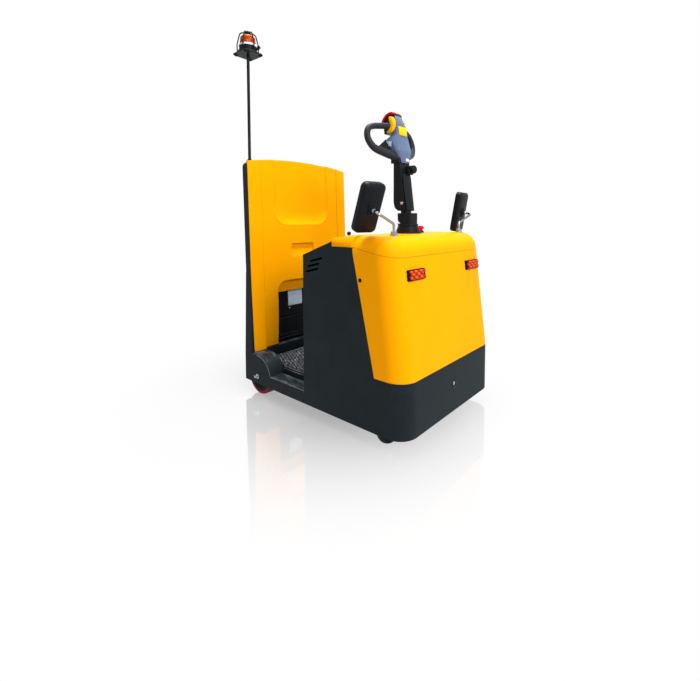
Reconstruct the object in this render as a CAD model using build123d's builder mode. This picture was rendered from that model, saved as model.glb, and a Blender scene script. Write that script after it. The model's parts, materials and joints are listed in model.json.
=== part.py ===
from build123d import *
from math import cos, radians, sin, tan
import os

os.makedirs("parts", exist_ok=True)

# Stand-on electric tow tractor, millimetres: x forward, y to the left, z up from the floor.
# The origin is on the floor, midway between the rear coupling and the front bumper.
body_length = 1076
body_width = 800
coupling_reach = 104
rear = (coupling_reach - body_length) / 2
front = rear + body_length
half = body_width / 2

# Sheet, plate and moulding thicknesses
panel_t = 8
bumper_t = 12
plate_t = 12
moulding_t = 5
tower_t = 6
sheet_t = 4

# Clearances: rotating faces, shafts in bores, seams between panels
face_gap = 0.3
running_gap = 0.05
seam_gap = 0.6

# Heights of the body's main lines
skirt_z = 62
floor_z = skirt_z + plate_t
bumper_top = 295
cap_z = 878
cap_rear_z = cap_z - 11
seam_front_z = cap_z - 88
seam_rear_z = cap_z - 50
panel_high_z = cap_z - 28
panel_low_z = cap_z - 97
sill_z = 124

# Stations of the nose, from lengths measured back from the front
panel_length = 587
tray_length = 421
cap_length = 395
crown_length = 324
seam_length = 277
steer_setback = 264
slant_length = 153
castor_setback = 121
panel_rear = front - panel_length
battery_front = front - tray_length
cap_rear = front - cap_length
cap_crest = front - crown_length
seam_rear = front - seam_length
steer_x = front - steer_setback
slant_foot = front - slant_length
castor_x = front - castor_setback

# Nose form
nose_lean = 7
corner_r = 87
cap_round = 80
cap_rear_round = 26

# Drive wheel and steering column
drive_r = 115
drive_w = 75
drive_axle_r = 20
drive_edge = 6
column_r = 20
column_hole_r = 34

# Rear wheels
rear_axle_x = rear + 110
rear_r = 100
rear_rim_r = 74
rear_axle_r = 12.5
rear_w = 66
rear_edge = 5
rear_wheel_y = half - 48.5
guard_gap = 8
guard_t = 6
guard_y = half - 95
guard_clear = 5
guard_top_z = 214
cover_low_z = guard_top_z + seam_gap

# Castors
castor_y = half - 100
castor_r = 50
castor_w = 36
castor_edge = 6
castor_trail = 30
castor_pin_r = 10
castor_axle_r = 6
castor_yaw = 60
castor_crown_z = 116

# Rear tower and backrest
tower_half = half - 21
tower_depth = 45
tower_bend_z = 250
tower_top_z = 1262
tower_lean = 34
GUSSET = (  # height, depth along the side, reach beyond the tower
    (guard_top_z + seam_gap, 58, half - tower_half),
    (tower_bend_z, 56, half - tower_half - 1),
    (660, tower_depth, 1),
)
cover_seat = 28
cover_top_z = 1297
cover_crown = 34
arch_half = 205
arch_top_z = 585
arch_r = 60
arch_lintel = 66
arch_wall = 6

# Platform
sill_w = 80
platform_gap = 4
platform_half = half - sill_w - platform_gap - 1
platform_top = 150
mat_t = 10
platform_front = panel_rear - platform_gap

# Tiller: boot on the cap, neck, and the pivot that the arm tilts on
boot_z = cap_z + face_gap
boot_top = boot_z + 43
neck_top = boot_top + 56
pivot_x = steer_x - 12
pivot_z = neck_top + 48
pivot_r = 8
tilt_back = 40
arm_half = 40
arm_top = pivot_z + 197
tongue_half = 22
tongue_r = 16
tongue_clear = 6
arm_gap = 2

# Tow coupling
tow_pin_r = 12.5
tow_pin_x = rear - 62
jaw_low_z = 180
jaw_high_z = 250
jaw_plate = 14
jaw_half = 45

# Front tow socket
socket_r = 13
socket_z = 191
socket_depth = 52

SIDES = (("right", -1), ("left", 1))


def keep(piece, name):
    """Label a finished piece and write it under that name."""
    piece.part.label = name
    export_step(piece.part, f"parts/{name}.step")


def front_at(z):
    """Station of the nose's front face at a height."""
    return front - (z - bumper_top) * tan(radians(nose_lean))


def seam_at(x):
    """Height of the seam between hood and cap at a station."""
    fall = (seam_rear_z - seam_front_z) / (front_at(seam_front_z) - seam_rear)
    return seam_rear_z - (x - seam_rear) * fall


def tower_at(z):
    """Station of the tower's rear face at a height."""
    return rear - max(0, z - tower_bend_z) / (tower_top_z - tower_bend_z) * tower_lean


def nose_form(inset):
    """Block of the nose with its walls and top moved in by inset."""
    lean = tan(radians(nose_lean))
    low = bumper_top - plate_t
    top = cap_z - inset
    with BuildSketch(Plane.XZ) as profile:
        with BuildLine():
            Polyline(
                (cap_rear + inset, cap_rear_z - inset),
                (cap_rear + inset, low),
                (front - inset + (bumper_top - low) * lean, low),
                (front_at(top) - inset, top),
                (cap_crest, top),
            )
            TangentArc((cap_crest, top), (cap_rear + inset, cap_rear_z - inset), tangent=(-1, 0))
        make_face()
    extrude(profile.sketch, amount=half - inset, both=True)
    upright = edges().filter_by(lambda e: abs((e % 0.5).Z) > 0.9)
    fillet(upright.sort_by(Axis.X)[-2:], corner_r - inset)
    crown = faces().filter_by(lambda f: f.normal_at().Z > 0.8).edges()
    rim = [e for e in crown if abs((e % 0.5).Y) < 0.99 or e.center().X > cap_crest + corner_r]
    fillet(rim, cap_round - inset)


with BuildPart() as nose_core:
    nose_form(moulding_t)

with BuildPart() as nose_shell:
    nose_form(0)
    add(nose_core.part, mode=Mode.SUBTRACT)

# Yellow hood: front and sides of the nose, below the cap and ahead of the dark side panels
with BuildPart() as nose_hood:
    add(nose_shell.part)
    with BuildSketch(Plane.XZ):
        with BuildLine():
            Polyline(
                (slant_foot + seam_gap, bumper_top),
                (front + corner_r, bumper_top),
                (front + corner_r, seam_at(front + corner_r)),
                (seam_rear + seam_gap, seam_rear_z),
                close=True,
            )
        make_face()
    extrude(amount=body_width, both=True, mode=Mode.INTERSECT)
keep(nose_hood, "nose_hood")

# Yellow cap: the rounded top of the nose, with the hole for the steering column
with BuildPart() as nose_cap:
    add(nose_shell.part)
    with BuildSketch(Plane.XZ):
        with BuildLine():
            Polyline(
                (cap_rear, seam_rear_z + seam_gap),
                (seam_rear, seam_rear_z + seam_gap),
                (front + corner_r, seam_at(front + corner_r) + seam_gap),
                (front + corner_r, cap_z + corner_r),
                (cap_rear, cap_z + corner_r),
                close=True,
            )
        make_face()
    extrude(amount=body_width, both=True, mode=Mode.INTERSECT)
    for station, crown, rounding in (
        (cap_rear, cap_rear_z, cap_rear_round),
        (seam_rear, cap_z - face_gap, cap_round),
    ):
        with BuildSketch(Plane.YZ.offset(station)):
            with Locations((0, seam_rear_z + seam_gap)):
                Rectangle(body_width, crown - seam_rear_z - seam_gap, align=(Align.CENTER, Align.MIN))
            fillet(vertices().group_by(Axis.Y)[-1], min(rounding, crown - seam_rear_z - 2 * seam_gap))
    loft()
    add(nose_core.part, mode=Mode.SUBTRACT)
    with Locations((steer_x, 0, cap_z)):
        Hole(column_hole_r)
keep(nose_cap, "nose_cap")

# Dark bumper: a skirt round the front corners, with the tow socket's boss behind its middle
with BuildPart() as front_bumper:
    for inset, mode in ((0, Mode.ADD), (bumper_t, Mode.SUBTRACT)):
        with BuildSketch(Plane.XY.offset(skirt_z)):
            with Locations((front - inset, 0)):
                Rectangle(front - slant_foot, 2 * (half - inset), align=(Align.MAX, Align.CENTER))
            fillet(vertices().group_by(Axis.X)[-1], corner_r - inset)
        extrude(amount=bumper_top - skirt_z, mode=mode)
    with BuildSketch(Plane.YZ.offset(front - socket_depth)):
        with Locations((0, socket_z)):
            Circle(socket_r * 2)
    extrude(amount=socket_depth - bumper_t)
    with Locations(Plane.YZ.offset(front) * Location((0, socket_z, 0))):
        Hole(socket_r, depth=socket_depth)
keep(front_bumper, "front_bumper")

guard_r = rear_r + guard_gap + guard_t

# Welded chassis: stepped floor, side webs, turntable plate and castor housings
FLOOR_STEPS = (  # from x, to x, half width
    (rear + tower_depth, rear_axle_x + guard_r + face_gap, guard_y - guard_clear),
    (rear_axle_x + guard_r, panel_rear, half - sill_w),
    (panel_rear, battery_front, half - panel_t),
)
castor_housing_r = 24
web_end = castor_x - 90
castor_pin_length = 60
spigot_r = 62
with BuildPart() as chassis_frame:
    with BuildSketch(Plane.XY.offset(skirt_z)):
        for low_x, high_x, reach in FLOOR_STEPS:
            with Locations((low_x, 0)):
                Rectangle(high_x - low_x, 2 * reach, align=(Align.MIN, Align.CENTER))
    extrude(amount=plate_t)
    with BuildSketch(Plane.XY.offset(skirt_z)):
        for name, sign in SIDES:
            with Locations((panel_rear + panel_t, sign * (half - panel_t - plate_t / 2))):
                Rectangle(web_end - panel_rear - panel_t, plate_t, align=(Align.MIN, Align.CENTER))
    extrude(amount=bumper_top - skirt_z)
    with BuildSketch(Plane.XY.offset(bumper_top - plate_t)):
        with Locations((front - bumper_t, 0)):
            Rectangle(front - bumper_t - battery_front, 2 * (half - bumper_t), align=(Align.MAX, Align.CENTER))
        fillet(vertices().group_by(Axis.X)[-1], corner_r - bumper_t)
        with Locations((steer_x, 0)):
            Circle(spigot_r, mode=Mode.SUBTRACT)
    extrude(amount=plate_t)
    with BuildSketch(Plane.XY.offset(castor_crown_z + face_gap)):
        with Locations((castor_x, castor_y), (castor_x, -castor_y)):
            Circle(castor_housing_r)
            Circle(castor_pin_r + running_gap, mode=Mode.SUBTRACT)
    extrude(amount=castor_pin_length)
    with BuildSketch(Plane.XY.offset(castor_crown_z + face_gap + castor_pin_length)):
        with Locations((castor_x, castor_y), (castor_x, -castor_y)):
            Circle(castor_housing_r)
    extrude(until=Until.NEXT)
keep(chassis_frame, "chassis_frame")

# Side panels: dark, from the sill to the cap, with three slanted vent slots
VENTS = (  # middle from the panel's rear edge, depth below its low corner, length
    (91, 18, 84),
    (72, 44, 84),
    (62, 69, 88),
)
vent_w = 10
vent_slope = 14
for name, sign in SIDES:
    with BuildPart() as side_panel:
        with BuildSketch(Plane.XZ.offset(-sign * half)):
            with BuildLine():
                Polyline(
                    (panel_rear, skirt_z),
                    (panel_rear, panel_low_z),
                    (cap_rear - seam_gap, panel_high_z),
                    (cap_rear - seam_gap, seam_rear_z),
                    (seam_rear, seam_rear_z),
                    (slant_foot, bumper_top),
                    (slant_foot, skirt_z),
                    close=True,
                )
            make_face()
            for station, drop, length in VENTS:
                with Locations((panel_rear + station, panel_low_z - drop)):
                    SlotOverall(length, vent_w, rotation=vent_slope, mode=Mode.SUBTRACT)
        extrude(amount=sign * panel_t)
    keep(side_panel, f"side_panel_{name}")

# Rear side frames: wheel box with its round mudguard, and the sill beside the platform
for name, sign in SIDES:
    with BuildPart() as side_frame:
        with BuildSketch(Plane.XZ.offset(-sign * half)):
            with Locations((rear, skirt_z)):
                Rectangle(rear_axle_x - rear, guard_top_z - skirt_z, align=(Align.MIN, Align.MIN))
            with Locations((rear_axle_x, rear_r)):
                Circle(guard_r)
            with Locations((rear - guard_r, skirt_z)):
                Rectangle(4 * guard_r, guard_r, align=(Align.MIN, Align.MAX), mode=Mode.SUBTRACT)
            with Locations((rear, skirt_z)):
                Rectangle(guard_r, 2 * guard_r, align=(Align.MAX, Align.MIN), mode=Mode.SUBTRACT)
        extrude(amount=sign * (half - guard_y))
        with BuildSketch(Plane.XZ.offset(-sign * half)):
            with Locations((rear_axle_x, skirt_z)):
                Rectangle(panel_rear - rear_axle_x, sill_z - skirt_z, align=(Align.MIN, Align.MIN))
        extrude(amount=sign * sill_w)
        with BuildSketch(Plane.XZ.offset(-sign * (half - panel_t))):
            with Locations((rear_axle_x, rear_r)):
                Circle(rear_r + guard_gap)
            with Locations((rear + sheet_t, skirt_z)):
                Rectangle(2 * guard_r, 2 * guard_r, align=(Align.MAX, Align.MIN), mode=Mode.SUBTRACT)
        extrude(amount=sign * (half - panel_t - guard_y - guard_t), mode=Mode.SUBTRACT)
        with BuildSketch(Plane.XZ.offset(-sign * half)):
            with Locations((rear_axle_x, rear_r)):
                Circle(rear_axle_r + running_gap)
        extrude(amount=sign * (half - guard_y), mode=Mode.SUBTRACT)
    keep(side_frame, f"side_frame_{name}")

# Stub axles of the rear wheels, with a flat head outside
axle_head_t = 4
with BuildPart() as rear_axles:
    for name, sign in SIDES:
        with BuildSketch(Plane.XZ.offset(-sign * half)):
            with Locations((rear_axle_x, rear_r)):
                Circle(rear_axle_r)
        extrude(amount=sign * (half - guard_y))
        with BuildSketch(Plane.XZ.offset(-sign * half)):
            with Locations((rear_axle_x, rear_r)):
                RegularPolygon(rear_axle_r * 1.4, 6)
        extrude(amount=-sign * axle_head_t)
keep(rear_axles, "rear_axles")

# Rear tower: bent steel channel behind the operator, open to the front
with BuildPart() as rear_tower:
    with BuildSketch(Plane.XZ):
        with BuildLine():
            Polyline(
                (rear, skirt_z),
                (rear, tower_bend_z),
                (tower_at(tower_top_z), tower_top_z),
                (tower_at(tower_top_z) + tower_depth, tower_top_z),
                (rear + tower_depth, tower_bend_z),
                (rear + tower_depth, skirt_z),
                close=True,
            )
        make_face()
    extrude(amount=tower_half, both=True)
    fillet(edges().filter_by(Axis.X).group_by(Axis.Z)[-1], arch_r / 2)
    with BuildSketch(Plane.XZ):
        with BuildLine():
            head = tower_at(tower_top_z)
            Polyline(
                (rear + tower_t, guard_top_z),
                (rear + tower_t, tower_bend_z),
                (head + tower_t, tower_top_z - tower_t),
                (head + cover_seat - seam_gap, tower_top_z - tower_t),
                (head + cover_seat - seam_gap, tower_top_z + tower_t),
                (head + 2 * tower_depth, tower_top_z + tower_t),
                (rear + 2 * tower_depth, guard_top_z),
                close=True,
            )
        make_face()
    extrude(amount=tower_half - tower_t, both=True, mode=Mode.SUBTRACT)
    for name, sign in SIDES:
        with BuildSketch(Plane.XY.offset(skirt_z)):
            with Locations((rear, sign * (guard_y - guard_clear))):
                Rectangle(
                    2 * tower_depth, half, align=(Align.MIN, Align.MIN if sign > 0 else Align.MAX)
                )
        extrude(amount=guard_top_z - skirt_z, mode=Mode.SUBTRACT)
        for height, depth, reach in GUSSET:
            with BuildSketch(Plane.XY.offset(height)):
                with Locations((tower_at(height), sign * tower_half)):
                    Rectangle(depth, reach, align=(Align.MIN, Align.MIN if sign > 0 else Align.MAX))
        loft(ruled=True)
keep(rear_tower, "rear_tower")

# Backrest cover: yellow moulding on the tower, with lumbar recess, hand pocket and foot arch
cover_low_depth = 26
cover_top_depth = 26
cover_lip = 2
COVER_ENDS = (  # height, depth over its seat, half width at the fold
    (cover_low_z, cover_low_depth, tower_half - 79),
    (cover_top_z, cover_top_depth, tower_half - 83),
)
recess_depth = 20
RECESS = (  # depth, half width, lower edge, corner radius
    (0, 212, 914, 95),
    (recess_depth, 168, 1010, 70),
)
pocket_y = -8
pocket_z = 723
pocket_depth = 17
pocket_r = 10
POCKET = (  # depth, width, height, lower edge
    (0, 176, 78, 0),
    (pocket_depth, 164, 22, 52),
)
draft = 35


def cover_back(z):
    """Station of the cover's flat back, inside the leaning tower, at a height."""
    return rear + cover_seat - (z - tower_bend_z) / (tower_top_z - tower_bend_z) * tower_lean


cover_foot = cover_back(cover_low_z) + cover_low_depth
cover_head = cover_back(cover_top_z) + cover_top_depth
cover_slope = (cover_head - cover_foot) / (cover_top_z - cover_low_z)
cover_face = Plane(
    origin=(cover_foot, 0, cover_low_z),
    x_dir=(0, 1, 0),
    z_dir=(1, 0, -cover_slope),
)
with BuildPart() as backrest_cover:
    for height, depth, fold in COVER_ENDS:
        back = cover_back(height)
        rim = back + tower_depth - cover_seat + seam_gap
        inner = tower_half - tower_t - seam_gap
        with BuildSketch(Plane.XY.offset(height)):
            with BuildLine():
                side = [
                    (back, inner),
                    (rim, inner),
                    (rim, tower_half),
                    (rim + cover_lip, tower_half),
                    (back + depth, fold),
                ]
                Polyline(*side, *[(x, -y) for x, y in reversed(side)], close=True)
            make_face()
    loft(ruled=True)
    with BuildSketch(Plane.YZ.offset(rear - body_length / 2)):
        with BuildLine():
            crown = ThreePointArc(
                (-half, cover_top_z - cover_crown), (0, cover_top_z), (half, cover_top_z - cover_crown)
            )
            Polyline(crown @ 0, (-half, cover_top_z + half), (half, cover_top_z + half), crown @ 1)
        make_face()
    extrude(amount=body_length, mode=Mode.SUBTRACT)
    for depth, reach, low, rounding in RECESS:
        with BuildSketch(cover_face.offset(-depth)):
            with Locations((0, low - cover_low_z)):
                Rectangle(2 * reach, cover_top_z + cover_crown - low, align=(Align.CENTER, Align.MIN))
            fillet(vertices().group_by(Axis.Y)[0], rounding)
    loft(ruled=True, mode=Mode.SUBTRACT)
    for depth, width, height, low in POCKET:
        with BuildSketch(cover_face.offset(-depth)):
            with Locations((pocket_y, pocket_z - cover_low_z + low + height / 2)):
                RectangleRounded(width, height, pocket_r)
    loft(ruled=True, mode=Mode.SUBTRACT)
    with BuildSketch(cover_face):
        Rectangle(2 * arch_half, arch_top_z - cover_low_z, align=(Align.CENTER, Align.MIN))
        fillet(vertices().group_by(Axis.Y)[-1], arch_r)
    extrude(amount=arch_wall - cover_low_depth, mode=Mode.SUBTRACT)
    with BuildSketch(cover_face):
        Rectangle(2 * arch_half, arch_top_z - arch_lintel - cover_low_z, align=(Align.CENTER, Align.MIN))
    extrude(amount=body_length, both=True, mode=Mode.SUBTRACT)
keep(backrest_cover, "backrest_cover")

# Kick panel: ribbed dark panel at the back of the foot arch, on the tower's inner face
kick_t = 4
kick_margin = 8
rib_t = 5
rib_w = 8
RIBS = (233, 372)  # heights
kick_low_z = guard_top_z + seam_gap
with BuildPart() as kick_panel:
    with BuildSketch(Plane.XZ):
        with BuildLine():
            Polyline(
                (rear + tower_t, kick_low_z),
                (rear + tower_t, tower_bend_z),
                (tower_at(arch_top_z) + tower_t, arch_top_z + kick_margin),
                (tower_at(arch_top_z) + tower_t + kick_t, arch_top_z + kick_margin),
                (rear + tower_t + kick_t, tower_bend_z),
                (rear + tower_t + kick_t, kick_low_z),
                close=True,
            )
        make_face()
    extrude(amount=arch_half + kick_margin, both=True)
    for height in RIBS:
        with BuildSketch(Plane.XZ):
            with Locations((tower_at(height + rib_w) + tower_t + kick_t / 2, height)):
                Rectangle(kick_t / 2 + rib_t, rib_w, align=(Align.MIN, Align.CENTER))
        extrude(amount=arch_half - kick_margin, both=True)
keep(kick_panel, "kick_panel")

# Operator's platform: a folded steel tray on the floor, with a rubber mat
platform_rear = rear + tower_depth + platform_gap
platform_neck = rear_axle_x + guard_r + platform_gap
mat_edge = 4


def platform_plan(inset):
    """Plan of the platform, narrow between the wheel boxes, moved in by inset."""
    with BuildSketch(Plane.XY.offset(floor_z)) as plan:
        with Locations((platform_rear + inset, 0)):
            Rectangle(
                platform_neck - platform_rear,
                2 * (guard_y - guard_clear - inset),
                align=(Align.MIN, Align.CENTER),
            )
        with Locations((platform_front - inset, 0)):
            Rectangle(
                platform_front - platform_neck - 2 * inset,
                2 * (platform_half - inset),
                align=(Align.MAX, Align.CENTER),
            )
    return plan.sketch


with BuildPart() as platform:
    extrude(platform_plan(0), amount=platform_top - floor_z)
    extrude(platform_plan(sheet_t), amount=platform_top - floor_z - sheet_t, mode=Mode.SUBTRACT)
keep(platform, "platform")

with BuildPart() as platform_mat:
    extrude(Pos(0, 0, platform_top - floor_z) * platform_plan(mat_edge), amount=mat_t)
    fillet(edges().filter_by(Axis.Z), mat_edge)
keep(platform_mat, "platform_mat")

# Console: the wall in front of the operator's shins and the sloping dash above it
with BuildPart() as console_wall:
    with BuildSketch(Plane.XY.offset(floor_z)):
        with Locations((panel_rear, 0)):
            Rectangle(panel_t, 2 * (half - panel_t), align=(Align.MIN, Align.CENTER))
    extrude(amount=panel_low_z - panel_t - floor_z)
keep(console_wall, "console_wall")

with BuildPart() as dash_panel:
    with BuildSketch(Plane.XZ):
        with BuildLine():
            Polyline(
                (panel_rear, panel_low_z),
                (cap_rear - face_gap, panel_high_z),
                (cap_rear - face_gap, panel_high_z - panel_t),
                (panel_rear, panel_low_z - panel_t),
                close=True,
            )
        make_face()
    extrude(amount=half - panel_t, both=True)
keep(dash_panel, "dash_panel")

# Battery: one plain block on the floor, behind the console wall
battery_gap = 12
battery_half = half - 60
battery_height = 560
with BuildPart() as battery:
    with BuildSketch(Plane.XY.offset(floor_z)):
        with Locations((battery_front, 0)):
            Rectangle(
                battery_front - panel_rear - panel_t - battery_gap,
                2 * battery_half,
                align=(Align.MAX, Align.CENTER),
            )
    extrude(amount=battery_height)
keep(battery, "battery")

# Lamps: a dark housing and a red lens on each side of the leaning front
lamp_w = 122
lamp_h = 46
lamp_y = half - 147
lamp_z = cap_z - 160
lamp_t = 12
lamp_lens_t = 8
lamp_edge = 4
nose_normal = (cos(radians(nose_lean)), 0, sin(radians(nose_lean)))
lamp_plane = Plane(origin=(front_at(lamp_z), 0, lamp_z), x_dir=(0, 1, 0), z_dir=nose_normal)
with BuildPart() as lamp_housings:
    with BuildSketch(lamp_plane):
        with Locations((lamp_y, 0), (-lamp_y, 0)):
            RectangleRounded(lamp_w, lamp_h, lamp_edge)
    extrude(amount=lamp_t)
keep(lamp_housings, "lamp_housings")

with BuildPart() as lamp_lenses:
    with BuildSketch(lamp_plane.offset(lamp_t)):
        with Locations((lamp_y, 0), (-lamp_y, 0)):
            RectangleRounded(lamp_w - 2 * lamp_edge, lamp_h - 2 * lamp_edge, lamp_edge)
    extrude(amount=lamp_lens_t, taper=draft / 2)
keep(lamp_lenses, "lamp_lenses")

# Mirrors: bent stalk on the cap, rounded head, glass that faces the operator
mirror_base = (front - 138, half - 114)
MIRRORS = (  # side, station, height, turn about the upright, tilt of the glass up to the operator
    (-1, front - 188, cap_z + 116, 12, 22),
    (1, front - 187, cap_z + 109, 4, 10),
)
mirror_y = half - 11
mirror_w = 112
mirror_h = 216
mirror_t = 28
mirror_r = 22
mirror_round = 9
boss_r = 15
boss_t = 14
stalk_r = 6
stalk_rise = 50
stalk_end = 40
stalk_bend = 18
foot_r = 17
foot_t = 6
glass_t = 2
glass_edge = 6


def mirror_plane(sign, station, height, turn, tilt):
    """Plane through a mirror head's middle, facing the operator."""
    turn, tilt = radians(turn), radians(tilt)
    return Plane(
        origin=(station, sign * mirror_y, height),
        x_dir=(sin(turn) * sign, -cos(turn), 0),
        z_dir=(-cos(turn) * cos(tilt), -sign * sin(turn) * cos(tilt), sin(tilt)),
    )


with BuildPart() as mirror_heads:
    for mirror in MIRRORS:
        face = mirror_plane(*mirror)
        with BuildSketch(face.offset(-mirror_t / 2)):
            RectangleRounded(mirror_w, mirror_h, mirror_r)
        extrude(amount=mirror_t)
        back = faces().filter_by(lambda f: f.normal_at().dot(face.z_dir) < -0.99)
        chamfer(back.edges(), mirror_round)
        with BuildSketch(face.offset(-mirror_t / 2)):
            Circle(boss_r)
        extrude(amount=-boss_t)
keep(mirror_heads, "mirror_heads")

with BuildPart() as mirror_glasses:
    for mirror in MIRRORS:
        with BuildSketch(mirror_plane(*mirror).offset(mirror_t / 2)):
            RectangleRounded(mirror_w - 2 * glass_edge, mirror_h - 2 * glass_edge, mirror_r - glass_edge)
        extrude(amount=glass_t)
keep(mirror_glasses, "mirror_glasses")

with BuildPart() as mirror_stalks:
    for mirror in MIRRORS:
        face = mirror_plane(*mirror)
        foot = Vector(mirror_base[0], mirror[0] * mirror_base[1], cap_z)
        with BuildLine() as route:
            FilletPolyline(
                foot + Vector(0, 0, foot_t / 2),
                foot + Vector(0, 0, stalk_rise),
                face.origin - face.z_dir * (mirror_t / 2 + boss_t + stalk_end),
                face.origin - face.z_dir * (mirror_t / 2 + boss_t),
                radius=stalk_bend,
            )
        with BuildSketch(Plane(origin=route.line @ 0, z_dir=route.line % 0)):
            Circle(stalk_r)
        sweep(path=route.line)
        with BuildSketch(Plane.XY.offset(cap_z - foot_t)):
            with Locations((foot.X, foot.Y)):
                Circle(foot_r)
        extrude(amount=2 * foot_t)
    add(nose_core.part, mode=Mode.SUBTRACT)
    add(nose_cap.part, mode=Mode.SUBTRACT)
keep(mirror_stalks, "mirror_stalks")

# Beacon: pole with a square plate and the lamp's base, then the lens and its wire guard
pole_r = 8
pole_x = tower_at(tower_top_z) + cover_seat / 2
pole_y = -(half - 59)
pole_h = 582
collar_r = 13
collar_h = 16
beacon_z = tower_top_z + pole_h
beacon_plate = 120
beacon_plate_t = 6
beacon_plate_r = 14
base_r = 46
base_h = 46
lens_r = 41
lens_h = 52
lens_top_r = 37
lens_edge = 10
guard_foot_r = 56
guard_low_r = 57
guard_swell_z = 44
guard_high_r = 40
guard_h = 118
guard_cap_r = 16
guard_wires = 6
guard_bend = 20
wire_r = 3.5
beacon_top = beacon_z + beacon_plate_t
with BuildPart() as beacon_pole:
    for radius, low, high in (
        (pole_r, tower_top_z, beacon_z),
        (collar_r, tower_top_z, tower_top_z + collar_h),
        (base_r, beacon_top, beacon_top + base_h),
    ):
        with BuildSketch(Plane.XY.offset(low)):
            with Locations((pole_x, pole_y)):
                Circle(radius)
        extrude(amount=high - low)
    with BuildSketch(Plane.XY.offset(beacon_z)):
        with Locations((pole_x, pole_y)):
            RectangleRounded(beacon_plate, beacon_plate, beacon_plate_r)
    extrude(amount=beacon_plate_t)
keep(beacon_pole, "beacon_pole")

with BuildPart() as beacon_lens:
    for rise, radius in ((0, lens_r), (lens_h - lens_edge, lens_top_r), (lens_h, lens_top_r - lens_edge)):
        with BuildSketch(Plane.XY.offset(beacon_top + base_h + rise)):
            with Locations((pole_x, pole_y)):
                Circle(radius)
    loft(ruled=True)
keep(beacon_lens, "beacon_lens")

with BuildPart() as beacon_guard:
    with BuildSketch(Plane.XY.offset(beacon_top)):
        with Locations((pole_x, pole_y)):
            Circle(guard_foot_r + wire_r)
            Circle(guard_foot_r - wire_r, mode=Mode.SUBTRACT)
    extrude(amount=2 * wire_r)
    with BuildSketch(Plane.XY.offset(beacon_top + guard_h)):
        with Locations((pole_x, pole_y)):
            Circle(guard_cap_r)
    extrude(amount=-4 * wire_r)
    for wire in range(guard_wires):
        turn = 360 / guard_wires * wire
        side = Plane(
            origin=(pole_x, pole_y, beacon_top),
            x_dir=Vector(1, 0, 0).rotate(Axis.Z, turn),
            z_dir=Vector(0, -1, 0).rotate(Axis.Z, turn),
        )
        with BuildLine(side) as route:
            FilletPolyline(
                (guard_foot_r, wire_r),
                (guard_low_r, guard_swell_z),
                (guard_high_r, guard_h - 2 * wire_r),
                (guard_cap_r / 2, guard_h - 2 * wire_r),
                radius=guard_bend,
            )
        with BuildSketch(Plane(origin=route.line @ 0, z_dir=route.line % 0)):
            RegularPolygon(wire_r, 6)
        sweep(path=route.line)
keep(beacon_guard, "beacon_guard")

# Red emergency button on the cap, beside the boot
stop_x = steer_x - 12
stop_y = 128
stop_r = 19
stop_neck_r = 13
stop_h = 13
stop_edge = 6
with BuildPart() as emergency_button:
    for radius, low, high in ((stop_neck_r, 0, stop_r), (stop_r, stop_r, stop_r + stop_h)):
        with BuildSketch(Plane.XY.offset(cap_z + low)):
            with Locations((stop_x, stop_y)):
                Circle(radius)
        extrude(amount=high - low)
    chamfer(edges().group_by(Axis.Z)[-1], stop_edge)
keep(emergency_button, "emergency_button")

# Rear coupling: jaw on the tower's back, lifting pin with a loop handle
jaw_back_t = 14
jaw_corner = 30
with BuildPart() as tow_jaw:
    with BuildSketch(Plane.XY.offset(jaw_low_z)):
        with Locations((rear, 0)):
            Rectangle(coupling_reach, 2 * jaw_half, align=(Align.MAX, Align.CENTER))
        fillet(vertices().group_by(Axis.X)[0], jaw_corner)
        with Locations((tow_pin_x, 0)):
            Circle(tow_pin_r + running_gap, mode=Mode.SUBTRACT)
    extrude(amount=jaw_high_z - jaw_low_z)
    with BuildSketch(Plane.XY.offset(jaw_low_z + jaw_plate)):
        with Locations((rear - jaw_back_t, 0)):
            Rectangle(coupling_reach, 2 * half, align=(Align.MAX, Align.CENTER))
    extrude(amount=jaw_high_z - jaw_low_z - 2 * jaw_plate, mode=Mode.SUBTRACT)
keep(tow_jaw, "tow_jaw")

pin_collar_r = 18
pin_collar_t = 8
pin_below = 6
handle_w = 46
handle_h = 40
handle_r = 5
with BuildPart() as tow_pin:
    with BuildSketch(Plane.XY.offset(jaw_low_z - pin_below)):
        with Locations((tow_pin_x, 0)):
            Circle(tow_pin_r)
    extrude(amount=jaw_high_z - jaw_low_z + pin_below + face_gap)
    with BuildSketch(Plane.XY.offset(jaw_high_z + face_gap)):
        with Locations((tow_pin_x, 0)):
            Circle(pin_collar_r)
    extrude(amount=pin_collar_t)
    handle_plane = Plane(
        origin=(tow_pin_x, 0, jaw_high_z + face_gap + pin_collar_t), x_dir=(0, 1, 0), z_dir=(1, 0, 0)
    )
    with BuildLine(handle_plane) as route:
        FilletPolyline(
            (-pin_collar_r + handle_r, -handle_r),
            (-handle_w / 2, handle_h),
            (handle_w / 2, handle_h),
            (pin_collar_r - handle_r, -handle_r),
            radius=handle_r * 2,
        )
    with BuildSketch(Plane(origin=route.line @ 0, z_dir=route.line % 0)):
        Circle(handle_r)
    sweep(path=route.line)
keep(tow_pin, "tow_pin")

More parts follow.
